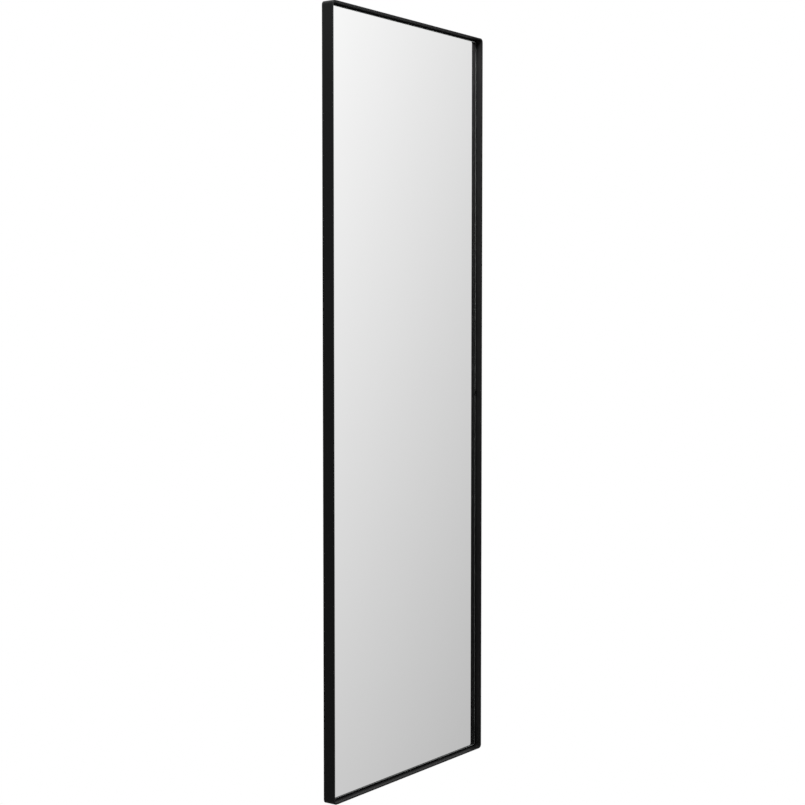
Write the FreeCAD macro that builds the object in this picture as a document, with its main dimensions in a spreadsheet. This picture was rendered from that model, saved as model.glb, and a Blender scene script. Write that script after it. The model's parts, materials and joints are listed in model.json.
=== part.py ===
"""Pull-out, swivelling wardrobe mirror on two ball-bearing slides, modelled in millimetres.

X is the pull-out direction, +Y points at the cabinet side that carries the part and +Z is up. The origin
is the centre of the fixing holes, on the rear face of the mounting plate. Depths are measured from that
face towards the room, that is along -Y.
"""
import FreeCAD, Part
import Sketcher
import math
import os

# ---------------------------------------------------------------------------------------------------
# Driving dimensions
# ---------------------------------------------------------------------------------------------------
SIZES = {
    # mirror panel
    "panel_width": 340,
    "panel_height": 1000,
    "panel_depth": 17,
    "frame_wall": 2,
    "frame_corner_radius": 5,
    "glass_thickness": 3,
    "glass_gap": 1.75,
    "glass_corner_radius": 1.5,
    "glass_arris": 0.8,
    "tape_thickness": 1,
    "tape_width": 25,
    "tape_end_inset": 20,
    "tape_spacing": 125,
    "board_thickness": 3,
    "board_gap": 0.5,
    "lug_thickness": 1.5,
    "lug_width": 26,
    "lug_reach": 16,
    "lug_corner_radius": 3,
    "stile_lug_spacing": 640,
    "bar_lug_spacing": 170,
    "rail_width": 26,
    "side_clip_height": 6,
    "side_clip_rise": 6,
    "side_clip_lip": 1,
    "side_clip_proud": 0.8,
    # mounting plate
    "plate_wall": 2,
    "plate_lip": 8,
    "plate_bend": 3,
    "lip_corner_radius": 3,
    "plate_margin": 15,
    "fixing_columns": 160,
    "fixing_rows": 192,
    "fixing_hole": 5.5,
    "window_length": 80,
    "window_height": 56,
    "window_spacing": 100,
    "window_corner_radius": 8,
    "plate_corner_radius": 6,
    # telescopic slides
    "slide_length": 250,
    "slide_height": 45,
    "slide_depth": 12.7,
    "slide_wall": 1.2,
    "slide_spacing": 128,
    "ball_diameter": 3.2,
    "race_clearance": 0.05,
    "race_half_angle": 50,
    "flank": 0.45,
    "flank_bend": 1.02,
    "cage_wall": 0.5,
    "cage_gap": 0.2,
    "cage_end_margin": 7.5,
    "cage_lip": 0.5,
    "pocket_clearance": 0.1,
    "balls_per_row": 4,
    "access_slot_length": 24,
    "access_slot_height": 12,
    "cage_stop_radius": 2,
    "cage_stop_dent": 1.6,
    "cage_stop_rise": 0.6,
    "cage_stop_gap": 0.8,
    "rear_buffer_length": 5.7,
    "rear_buffer_height": 26,
    "rear_buffer_edge": 1.5,
    "rear_buffer_slot_length": 3,
    "rear_buffer_slot_height": 6,
    "rest_gap": 0.3,
    # carriage and swivel
    "carriage_wall": 2.5,
    "carriage_height": 174,
    "pivot_lead": 10,
    "pivot_inset": 22,
    "pin_diameter": 8,
    "pin_head_diameter": 13,
    "pin_head_height": 3,
    "pin_tail": 3.5,
    "pin_groove_depth": 0.8,
    "pin_point": 0.8,
    "knuckle_radius": 7.5,
    "knuckle_to_carriage": 1.8,
    "knuckle_to_bracket": 2,
    "fold_radius": 1.5,
    "fold_relief": 1.5,
    "bracket_wall": 2.5,
    "bracket_reach": 60,
    "bracket_overhang": 16,
    "bracket_screw_inset": 14,
    "bracket_screw_spacing": 20,
    "bracket_window_length": 36,
    "bracket_window_height": 84,
    "bracket_window_inset": 10,
    "washer_thickness": 0.8,
    "bush_flange": 1,
    "bush_wall": 1,
    "bush_tail": 1.5,
    "clip_thickness": 0.9,
    "clip_diameter": 13,
    "clip_mouth_share": 0.8,
    "clip_relief": 1.9,
    "clip_relief_turn": 110,
    "running_clearance": 0.05,
    "fit_clearance": 0.02,
    "stack_gap": 0.1,
    "buffer_diameter": 12,
    "buffer_inset": 14,
    "buffer_spacing": 56,
    "buffer_stem": 5,
    "buffer_dome": 2.5,
    # fasteners
    "rivet_diameter": 4,
    "rivet_head": 8,
    "rivet_head_height": 1.6,
    "rivet_upset": 5.6,
    "rivet_upset_height": 0.8,
    "rivet_spacing": 90,
    "head_rim": 0.6,
    "bracket_screw": 5,
    "bracket_screw_head": 9.5,
    "bracket_screw_head_height": 2.8,
    "weld_nut_flats": 8,
    "board_screw": 2.9,
    "board_screw_head": 5.6,
    "board_screw_head_height": 2,
    "board_screw_length": 4.2,
}

doc = FreeCAD.newDocument("pull_out_mirror")
sheet = doc.addObject("Spreadsheet::Sheet", "Sizes")
for row, (alias, amount) in enumerate(SIZES.items(), start=1):
    sheet.set(f"A{row}", alias)
    sheet.set(f"B{row}", str(amount))
    sheet.setAlias(f"B{row}", alias)
doc.recompute()


def number(rule):
    """Return the value of an expression such as 'Sizes.panel_width / 2'."""
    result = sheet.evalExpression(rule)
    return float(getattr(result, "Value", result))


def size(alias):
    """Return one driving dimension."""
    return number(f"Sizes.{alias}")


# ---------------------------------------------------------------------------------------------------
# Places worked out from the driving dimensions, as expressions
# ---------------------------------------------------------------------------------------------------
CARRIAGE_BACK = "(Sizes.plate_wall + Sizes.slide_depth)"
CARRIAGE_FRONT = f"({CARRIAGE_BACK} + Sizes.carriage_wall)"
PIVOT_TO_CARRIAGE = "(Sizes.knuckle_radius + Sizes.knuckle_to_carriage)"
PIVOT_DEPTH = f"({CARRIAGE_FRONT} + {PIVOT_TO_CARRIAGE})"
BRACKET_BACK = f"({PIVOT_DEPTH} + Sizes.knuckle_radius + Sizes.knuckle_to_bracket)"
PANEL_BACK = f"({BRACKET_BACK} + Sizes.bracket_wall)"
BOARD_BACK = f"({PANEL_BACK} + Sizes.lug_thickness)"
TAPE_BACK = f"({BOARD_BACK} + Sizes.board_thickness)"
GLASS_BACK = f"({TAPE_BACK} + Sizes.tape_thickness)"
GLASS_FRONT = f"({GLASS_BACK} + Sizes.glass_thickness)"

SLIDE_FRONT = "(Sizes.slide_length / 2)"
SLIDE_REAR = "(-Sizes.slide_length / 2)"
RUNNER_REAR = f"({SLIDE_REAR} + Sizes.rear_buffer_length + Sizes.rest_gap)"
RUNNER_LENGTH = f"({SLIDE_FRONT} - {RUNNER_REAR})"
CAGE_LENGTH = "(Sizes.slide_length / 2 - 2 * Sizes.cage_end_margin)"
CAGE_TRAVEL = "(Sizes.slide_length / 4)"
PIVOT_X = f"({SLIDE_FRONT} + Sizes.pivot_lead)"
CARRIAGE_END = f"({PIVOT_X} + Sizes.knuckle_radius)"
PANEL_RIGHT = f"({PIVOT_X} + Sizes.pivot_inset)"
PANEL_LEFT = f"({PANEL_RIGHT} - Sizes.panel_width)"
PANEL_MIDDLE = f"({PANEL_RIGHT} - Sizes.panel_width / 2)"
BRACKET_LEFT = f"({PIVOT_X} - Sizes.bracket_reach)"
BRACKET_RIGHT = f"({PIVOT_X} + Sizes.bracket_overhang)"
BRACKET_SCREWS = [
    f"({BRACKET_LEFT} + Sizes.bracket_screw_inset)",
    f"({BRACKET_LEFT} + Sizes.bracket_screw_inset + Sizes.bracket_screw_spacing)",
]
BUFFER_X = f"({RUNNER_REAR} + Sizes.buffer_inset)"

CARRIAGE_TOP = "(Sizes.carriage_height / 2)"
EAR_UNDERSIDE = f"({CARRIAGE_TOP} - Sizes.carriage_wall)"
WASHER_TOP = f"({EAR_UNDERSIDE} - Sizes.stack_gap)"
FLANGE_TOP = f"({WASHER_TOP} - Sizes.washer_thickness - Sizes.stack_gap)"
BRACKET_TOP = f"({FLANGE_TOP} - Sizes.bush_flange)"
BUSH_END = f"({BRACKET_TOP} - Sizes.bracket_wall - Sizes.bush_tail)"
PLATE_TOP = "(Sizes.fixing_rows / 2 + Sizes.plate_margin)"
PANEL_TOP = "(Sizes.panel_height / 2)"
SLIDE_RISE = "(Sizes.slide_spacing / 2)"

PIN_RADIUS = "(Sizes.pin_diameter / 2)"
BUSH_BORE = f"({PIN_RADIUS} + Sizes.running_clearance)"
BUSH_RADIUS = f"({BUSH_BORE} + Sizes.bush_wall)"
FLANGE_RADIUS = "(Sizes.knuckle_radius - 2 * Sizes.stack_gap)"
CLIP_LOW = f"(-{CARRIAGE_TOP} - Sizes.stack_gap - Sizes.clip_thickness)"
GROOVE_RADIUS = f"({PIN_RADIUS} - Sizes.pin_groove_depth)"
NUT_HOLE_RADIUS = "(Sizes.weld_nut_flats / sqrt(3) + Sizes.board_gap)"

SLIDES = {"upper": 1, "lower": -1}


# ---------------------------------------------------------------------------------------------------
# Modelling helpers
# ---------------------------------------------------------------------------------------------------
def new_body(label, **place):
    """Start a PartDesign body; place holds expressions for the x, y and z of its Placement."""
    body = doc.addObject("PartDesign::Body", label)
    body.Label = label
    for axis, rule in place.items():
        body.setExpression(f"Placement.Base.{axis}", rule)
    return body


def origin_plane(body, role):
    """Return one of the body's three origin planes."""
    return next(item for item in body.Origin.OriginFeatures if item.Role == role)


def new_sketch(body, name, role, offset="0"):
    """Attach a sketch to an origin plane, at an offset along the plane's normal."""
    sketch = body.newObject("Sketcher::SketchObject", name)
    sketch.AttachmentSupport = [(origin_plane(body, role), "")]
    sketch.MapMode = "FlatFace"
    sketch.setExpression("AttachmentOffset.Base.z", offset)
    return sketch


def bind(sketch, kind, element, vertex, rule):
    """Tie a vertex's DistanceX or DistanceY from the sketch's origin to an expression."""
    index = sketch.addConstraint(Sketcher.Constraint(kind, -1, 1, element, vertex, number(rule)))
    sketch.setExpression(f"Constraints[{index}]", rule)


def outline(sketch, corners, arcs=None):
    """Draw a closed anticlockwise outline through corners given as pairs of expressions.

    arcs maps the number of an edge that is round to its centre, another pair of expressions.
    """
    arcs = arcs or {}
    points = [FreeCAD.Vector(number(x), number(y), 0) for x, y in corners]
    first = sketch.GeometryCount
    count = len(corners)
    for index, start in enumerate(points):
        end = points[(index + 1) % count]
        if index in arcs:
            centre = FreeCAD.Vector(*(number(rule) for rule in arcs[index]), 0)
            ring = Part.Circle(centre, FreeCAD.Vector(0, 0, 1), start.distanceToPoint(centre))
            sketch.addGeometry(Part.ArcOfCircle(ring, ring.parameter(start), ring.parameter(end)), False)
        else:
            sketch.addGeometry(Part.LineSegment(start, end), False)
    for index, (x, y) in enumerate(corners):
        following = first + (index + 1) % count
        sketch.addConstraint(Sketcher.Constraint("Coincident", first + index, 2, following, 1))
        bind(sketch, "DistanceX", first + index, 1, x)
        bind(sketch, "DistanceY", first + index, 1, y)
    for index, (x, y) in arcs.items():
        bind(sketch, "DistanceY", first + index, 3, y)


def rectangle(sketch, left, right, low, high):
    """Draw a rectangle whose four sides lie at the given expressions."""
    outline(sketch, [(left, low), (right, low), (right, high), (left, high)])


def circle(sketch, x, y, radius):
    """Draw a circle whose centre and radius are expressions."""
    centre = FreeCAD.Vector(number(x), number(y), 0)
    index = sketch.addGeometry(Part.Circle(centre, FreeCAD.Vector(0, 0, 1), number(radius)), False)
    bind(sketch, "DistanceX", index, 3, x)
    bind(sketch, "DistanceY", index, 3, y)
    datum = sketch.addConstraint(Sketcher.Constraint("Radius", index, number(radius)))
    sketch.setExpression(f"Constraints[{datum}]", radius)


def pad(body, sketch, name, length):
    """Extrude a sketch along its plane's normal by an expression."""
    feature = body.newObject("PartDesign::Pad", name)
    feature.Profile = sketch
    feature.setExpression("Length", length)
    doc.recompute()
    return feature


def pocket(body, sketch, name):
    """Cut a sketch through the whole body, both ways."""
    before = body.Shape.Volume
    feature = body.newObject("PartDesign::Pocket", name)
    feature.Profile = sketch
    feature.Type = "ThroughAll"
    feature.SideType = "Symmetric"
    doc.recompute()
    if body.Shape.Volume >= before:
        raise RuntimeError(f"{name} cuts nothing")
    return feature


def mirror_up_down(body, name, features):
    """Repeat features on the other side of the body's horizontal middle plane."""
    mirror = body.newObject("PartDesign::Mirrored", name)
    mirror.Originals = features
    mirror.MirrorPlane = (origin_plane(body, "XY_Plane"), [""])
    body.Tip = mirror
    doc.recompute()
    return mirror


def dress(body, kind, name, test, amount):
    """Fillet or chamfer the edges of the body's tip that pass a test, by an expression."""
    base = body.Tip
    edges = [f"Edge{index}" for index, edge in enumerate(base.Shape.Edges, start=1) if test(edge)]
    feature = body.newObject(f"PartDesign::{kind}", name)
    feature.Base = (base, edges)
    feature.setExpression("Radius" if kind == "Fillet" else "Size", amount)
    doc.recompute()
    return feature


def runs_along(edge, axis):
    """Say whether an edge is straight and lies along the axis named x, y or z."""
    if not isinstance(edge.Curve, Part.Line):
        return False
    return abs(abs(getattr(edge.Curve.Direction, axis)) - 1) < 1e-6


def near(value, goal):
    """Say whether two lengths are the same."""
    return abs(value - goal) < 1e-3


def add_shape(label, shape, x="0", y="0", z="0"):
    """Add a Part::Feature with a shape made by Part's own functions, placed by expressions."""
    item = doc.addObject("Part::Feature", label)
    item.Label = label
    item.Shape = shape
    item.Placement = FreeCAD.Placement(FreeCAD.Vector(number(x), number(y), number(z)), FreeCAD.Rotation())
    return item


def add_primitive(kind, name, x="0", y="0", z="0", **sizes):
    """Add a Part primitive whose sizes and place are expressions."""
    item = doc.addObject(f"Part::{kind}", name)
    for key, rule in sizes.items():
        item.setExpression(key, rule)
    for axis, rule in (("x", x), ("y", y), ("z", z)):
        item.setExpression(f"Placement.Base.{axis}", rule)
    return item


def combine(kind, label, base, tool):
    """Add a boolean of two objects."""
    item = doc.addObject(f"Part::{kind}", label)
    item.Label = label
    item.Base = base
    item.Tool = tool
    return item


def gather(label, members):
    """Add a compound of separate solids."""
    item = doc.addObject("Part::Compound", label)
    item.Label = label
    item.Links = members
    return item


def add_on_pivot(kind, name, low, height, **radii):
    """Add a primitive that stands on the swivel's axis, from a height low."""
    return add_primitive(kind, name, x=PIVOT_X, y=f"-{PIVOT_DEPTH}", z=low, Height=height, **radii)


def bore_along_y(radius, length, x, y, z):
    """Return a cutter that runs from a point towards the room."""
    return Part.makeCylinder(radius, length, FreeCAD.Vector(x, y, z), FreeCAD.Vector(0, -1, 0))


def turned(corners, places, crown=None):
    """Revolve (depth, radius) corners about the Y axis and copy the solid to each (x, z) place.

    With a crown, the end at the first corner is a spherical dome that meets the axis at that depth;
    without one, the first corner lies on the axis. The last corner always does.
    """
    points = [FreeCAD.Vector(radius, -depth, 0) for depth, radius in corners]
    edges = [Part.makeLine(start, end) for start, end in zip(points, points[1:])]
    first = points[0]
    if crown is not None:
        depth, rim = corners[0]
        rise = abs(crown - depth)
        outwards = math.copysign(1, crown - depth)
        dome = (rim**2 + rise**2) / (2 * rise)
        half_turn = math.atan2(rim, dome - rise) / 2
        middle_depth = crown - outwards * dome * (1 - math.cos(half_turn))
        middle = FreeCAD.Vector(dome * math.sin(half_turn), -middle_depth, 0)
        first = FreeCAD.Vector(0, -crown, 0)
        edges.append(Part.Arc(first, middle, points[0]).toShape())
    edges.append(Part.makeLine(points[-1], first))
    section = Part.Face(Part.Wire(Part.__sortEdges__(edges)))
    solid = section.revolve(FreeCAD.Vector(0, 0, 0), FreeCAD.Vector(0, 1, 0), 360)
    return Part.makeCompound([solid.translated(FreeCAD.Vector(x, 0, z)) for x, z in places])


def strip_side(path, radii, offset):
    """Edges of one face of a bent strip: its middle line, rounded at each inner corner, set aside."""
    edges = []
    last = None
    for before, corner, after, radius in zip(path, path[1:], path[2:], radii):
        inward = (corner - before).normalize()
        outward = (after - corner).normalize()
        turn = inward.getAngle(outward)
        sense = 1 if inward.cross(outward).x > 0 else -1
        left = FreeCAD.Vector(1, 0, 0).cross(inward)
        start = corner - inward * radius * math.tan(turn / 2)
        centre = start + left * sense * radius
        end = corner + outward * radius * math.tan(turn / 2)
        reach = (radius - sense * offset) / radius
        marks = [centre + (mark - centre) * reach for mark in (start, end)]
        crown = centre + (corner - centre).normalize() * (radius - sense * offset)
        if last is None:
            last = before + left * offset
        if last.distanceToPoint(marks[0]) > 1e-6:
            edges.append(Part.makeLine(last, marks[0]))
        edges.append(Part.Arc(marks[0], crown, marks[1]).toShape())
        last = marks[1]
    tip = path[-1] + FreeCAD.Vector(1, 0, 0).cross((path[-1] - path[-2]).normalize()) * offset
    if last.distanceToPoint(tip) > 1e-6:
        edges.append(Part.makeLine(last, tip))
    return edges


def channel(half_path, radii, wall, length):
    """Extrude a roll-formed channel along X.

    half_path holds the (height, depth) corners of the middle line of the upper flange, from the web's
    corner to the tip; the lower flange is its mirror image. radii are those of the middle line's bends.
    """
    upper = [FreeCAD.Vector(0, -depth, height) for height, depth in half_path]
    lower = [FreeCAD.Vector(0, point.y, -point.z) for point in reversed(upper)]
    path = lower + upper
    bends = list(reversed(radii)) + list(radii)
    left = strip_side(path, bends, wall / 2)
    right = strip_side(path, bends, -wall / 2)
    caps = [
        Part.makeLine(left[0].firstVertex().Point, right[0].firstVertex().Point),
        Part.makeLine(left[-1].lastVertex().Point, right[-1].lastVertex().Point),
    ]
    section = Part.Face(Part.Wire(Part.__sortEdges__(left + right + caps)))
    return section.extrude(FreeCAD.Vector(length, 0, 0))


# ---------------------------------------------------------------------------------------------------
# Mirror panel
# ---------------------------------------------------------------------------------------------------
def inset_rectangle(sketch, inset):
    """Draw a rectangle inset from the panel's outline by an expression."""
    rectangle(
        sketch,
        f"{PANEL_LEFT} + {inset}",
        f"{PANEL_RIGHT} - {inset}",
        f"-{PANEL_TOP} + {inset}",
        f"{PANEL_TOP} - {inset}",
    )


def make_frame():
    """Flat steel band on edge, bent round four corners and closed into a ring."""
    body = new_body("mirror_frame")
    sketch = new_sketch(body, "frame_outline", "XZ_Plane", PANEL_BACK)
    inset_rectangle(sketch, "0")
    inset_rectangle(sketch, "Sizes.frame_wall")
    pad(body, sketch, "frame_band", "Sizes.panel_depth")
    half_width = size("panel_width") / 2
    middle = number(PANEL_MIDDLE)
    dress(
        body, "Fillet", "frame_outer_corners",
        lambda edge: runs_along(edge, "y") and near(abs(edge.CenterOfMass.x - middle), half_width),
        "Sizes.frame_corner_radius",
    )
    inner = half_width - size("frame_wall")
    dress(
        body, "Fillet", "frame_inner_corners",
        lambda edge: runs_along(edge, "y") and near(abs(edge.CenterOfMass.x - middle), inner),
        "Sizes.frame_corner_radius - Sizes.frame_wall",
    )


def make_glass():
    """Silvered glass with eased corners and a ground arris round its front."""
    body = new_body("mirror_glass")
    sketch = new_sketch(body, "glass_outline", "XZ_Plane", GLASS_BACK)
    inset_rectangle(sketch, "(Sizes.frame_wall + Sizes.glass_gap)")
    pad(body, sketch, "glass_sheet", "Sizes.glass_thickness")
    dress(body, "Fillet", "glass_corners", lambda edge: runs_along(edge, "y"), "Sizes.glass_corner_radius")
    front = -number(GLASS_FRONT)
    dress(body, "Chamfer", "glass_arris", lambda edge: near(edge.CenterOfMass.y, front), "Sizes.glass_arris")


def make_tape():
    """Three strips of foam tape between the glass and its board."""
    strips = []
    for place in (-1, 0, 1):
        strips.append(
            add_primitive(
                "Box", f"tape_strip_{place + 2}",
                x=f"{PANEL_MIDDLE} + {place} * Sizes.tape_spacing - Sizes.tape_width / 2",
                y=f"-{GLASS_BACK}",
                z=f"-{PANEL_TOP} + Sizes.tape_end_inset",
                Length="Sizes.tape_width",
                Width="Sizes.tape_thickness",
                Height="Sizes.panel_height - 2 * Sizes.tape_end_inset",
            )
        )
    gather("mirror_tape", strips)


def lug_places():
    """Return each lug's (x, z) root on the frame's inner wall, with the way it points in."""
    left = number(PANEL_LEFT) + size("frame_wall")
    right = number(PANEL_RIGHT) - size("frame_wall")
    top = number(PANEL_TOP) - size("frame_wall")
    middle = number(PANEL_MIDDLE)
    stile = size("stile_lug_spacing") / 2
    bar = size("bar_lug_spacing") / 2
    places = []
    for side in (1, -1):
        places.append((left, side * stile, 1, 0))
        places.append((right, side * stile, -1, 0))
        places.append((middle - bar, side * top, 0, -side))
        places.append((middle + bar, side * top, 0, -side))
    return places


def lug_screws():
    """Return the (x, z) of the screw in each lug."""
    reach = size("lug_reach") / 2
    return [(x + to_x * reach, z + to_z * reach) for x, z, to_x, to_z in lug_places()]


def make_board():
    """Backing board, with holes for the weld nuts and the lug screws."""
    body = new_body("backing_board")
    sketch = new_sketch(body, "board_outline", "XZ_Plane", BOARD_BACK)
    inset_rectangle(sketch, "(Sizes.frame_wall + Sizes.board_gap)")
    pad(body, sketch, "board_sheet", "Sizes.board_thickness")
    dress(
        body, "Fillet", "board_corners", lambda edge: runs_along(edge, "y"),
        "Sizes.frame_corner_radius - Sizes.frame_wall",
    )
    holes = new_sketch(body, "nut_holes", "XZ_Plane", BOARD_BACK)
    for x in BRACKET_SCREWS:
        for rise in (SLIDE_RISE, f"-{SLIDE_RISE}"):
            circle(holes, x, rise, NUT_HOLE_RADIUS)
    pocket(body, holes, "nut_clearance")
    pilots = new_sketch(body, "pilot_holes", "XZ_Plane", BOARD_BACK)
    inner_left = f"{PANEL_LEFT} + Sizes.frame_wall + Sizes.lug_reach / 2"
    inner_right = f"{PANEL_RIGHT} - Sizes.frame_wall - Sizes.lug_reach / 2"
    inner_top = f"{PANEL_TOP} - Sizes.frame_wall - Sizes.lug_reach / 2"
    pilot = "Sizes.board_screw / 2 + Sizes.fit_clearance"
    for side in ("", "-"):
        for x in (inner_left, inner_right):
            circle(pilots, x, f"{side}Sizes.stile_lug_spacing / 2", pilot)
        for shift in ("+", "-"):
            circle(pilots, f"{PANEL_MIDDLE} {shift} Sizes.bar_lug_spacing / 2", f"{side}({inner_top})", pilot)
    pocket(body, pilots, "screw_pilots")


def make_lugs():
    """Lugs welded inside the frame, flush with its rear edge, each with round tips and a screw hole."""
    back = -number(PANEL_BACK)
    wall = size("lug_thickness")
    width = size("lug_width")
    reach = size("lug_reach")
    lugs = []
    for x, z, to_x, to_z in lug_places():
        length = reach if to_x else width
        height = reach if to_z else width
        middle_x = x + to_x * reach / 2
        middle_z = z + to_z * reach / 2
        plate = Part.makeBox(length, wall, height)
        plate.translate(FreeCAD.Vector(middle_x - length / 2, back - wall, middle_z - height / 2))
        tip = FreeCAD.Vector(x + to_x * reach, 0, z + to_z * reach)
        inward = FreeCAD.Vector(to_x, 0, to_z)
        tips = [
            edge for edge in plate.Edges
            if runs_along(edge, "y") and near((edge.CenterOfMass - tip).dot(inward), 0)
        ]
        plate = plate.makeFillet(size("lug_corner_radius"), tips)
        hole = bore_along_y(size("board_screw") / 2 + size("fit_clearance"), wall, middle_x, back, middle_z)
        lugs.append(plate.cut(hole))
    add_shape("frame_lugs", Part.makeCompound(lugs))


def make_board_screws():
    """Pan-head screws through the lugs into the board."""
    back = number(PANEL_BACK)
    head = size("board_screw_head") / 2
    rise = size("board_screw_head_height")
    shank = size("board_screw") / 2
    length = size("board_screw_length")
    corners = [
        (back - size("head_rim"), head),
        (back, head),
        (back, shank),
        (back + length - shank, shank),
        (back + length, 0),
    ]
    add_shape("board_screws", turned(corners, lug_screws(), crown=back - rise))


def make_cross_rails():
    """Two flat rails welded between the stiles; the swivel bracket is screwed to them."""
    for name, side in SLIDES.items():
        body = new_body(f"{name}_cross_rail", z=f"{side} * {SLIDE_RISE}")
        sketch = new_sketch(body, f"{name}_rail_outline", "XZ_Plane", PANEL_BACK)
        rectangle(
            sketch,
            f"{PANEL_LEFT} + Sizes.frame_wall",
            f"{PANEL_RIGHT} - Sizes.frame_wall",
            "-Sizes.rail_width / 2",
            "Sizes.rail_width / 2",
        )
        pad(body, sketch, f"{name}_rail", "Sizes.lug_thickness")
        holes = new_sketch(body, f"{name}_rail_holes", "XZ_Plane", PANEL_BACK)
        for x in BRACKET_SCREWS:
            circle(holes, x, "0", "Sizes.bracket_screw / 2 + Sizes.fit_clearance")
        pocket(body, holes, f"{name}_rail_drilling")


def bracket_screw_places():
    """Return the (x, z) of each screw of the swivel bracket."""
    rise = number(SLIDE_RISE)
    return [(number(x), side * rise) for x in BRACKET_SCREWS for side in (1, -1)]


def make_weld_nuts():
    """Hexagon nuts welded to the front of the cross rails, sunk in the board's clearance holes."""
    corner = size("weld_nut_flats") / math.sqrt(3)
    start = -number(BOARD_BACK)
    points = []
    for step in range(7):
        angle = math.radians(60 * step)
        points.append(FreeCAD.Vector(corner * math.cos(angle), start, corner * math.sin(angle)))
    height = FreeCAD.Vector(0, -size("board_thickness"), 0)
    nut = Part.Face(Part.makePolygon(points)).extrude(height)
    bore = bore_along_y(
        size("bracket_screw") / 2 + size("fit_clearance"), size("board_thickness"), 0, start, 0
    )
    nut = nut.cut(bore)
    nuts = [nut.translated(FreeCAD.Vector(x, 0, z)) for x, z in bracket_screw_places()]
    add_shape("weld_nuts", Part.makeCompound(nuts))


def make_side_clips():
    """Small clips that centre the glass in its frame half way up, each with a lip over the arris."""
    clips = []
    height = size("side_clip_height")
    gap = size("glass_gap")
    depth = size("glass_thickness") + size("side_clip_proud")
    lip = size("side_clip_lip")
    front = -number(GLASS_FRONT) - size("side_clip_proud")
    low = size("side_clip_rise") - height / 2
    left_wall = number(PANEL_LEFT) + size("frame_wall")
    right_wall = number(PANEL_RIGHT) - size("frame_wall")
    for edge, inward in ((left_wall, 1), (right_wall, -1)):
        stem = Part.makeBox(gap, depth, height)
        stem.translate(FreeCAD.Vector(min(edge, edge + inward * gap), front, low))
        cap = Part.makeBox(gap + lip, size("side_clip_proud"), height)
        cap.translate(FreeCAD.Vector(min(edge, edge + inward * (gap + lip)), front, low))
        clips.append(stem.fuse(cap).removeSplitter())
    add_shape("glass_side_clips", Part.makeCompound(clips))


# ---------------------------------------------------------------------------------------------------
# Swivel
# ---------------------------------------------------------------------------------------------------
def fold_reliefs(body, name, depth, top, sides):
    """Notch a blank beside its upper and lower ear, so that each ear can be folded.

    sides holds the (left, right) X of each notch beside an ear, as expressions.
    """
    notches = new_sketch(body, f"{name}_reliefs", "XZ_Plane", depth)
    low = f"({top} - Sizes.fold_radius - Sizes.{name}_wall - Sizes.fold_relief)"
    for left, right in sides:
        rectangle(notches, left, right, low, top)
        rectangle(notches, left, right, f"-{top}", f"-{low}")
    pocket(body, notches, f"{name}_relief_notches")


def round_folds(body, name, ends, inner, outer):
    """Round a folded part inside and outside its two folds.

    ends holds the left and right X of a fold, and inner and outer the (depth, height) of the upper
    fold's two corners, all as expressions.
    """
    folds = {
        "inner": (inner, "Sizes.fold_radius"),
        "outer": (outer, f"Sizes.fold_radius + Sizes.{name}_wall"),
    }
    middle = (number(ends[0]) + number(ends[1])) / 2
    for side, ((depth, height), radius) in folds.items():
        at_depth = -number(depth)
        at_height = number(height)
        dress(
            body, "Fillet", f"{name}_{side}_folds",
            lambda edge: runs_along(edge, "x")
            and near(edge.CenterOfMass.y, at_depth)
            and near(abs(edge.CenterOfMass.z), at_height)
            and near(edge.CenterOfMass.x, middle),
            radius,
        )


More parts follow.
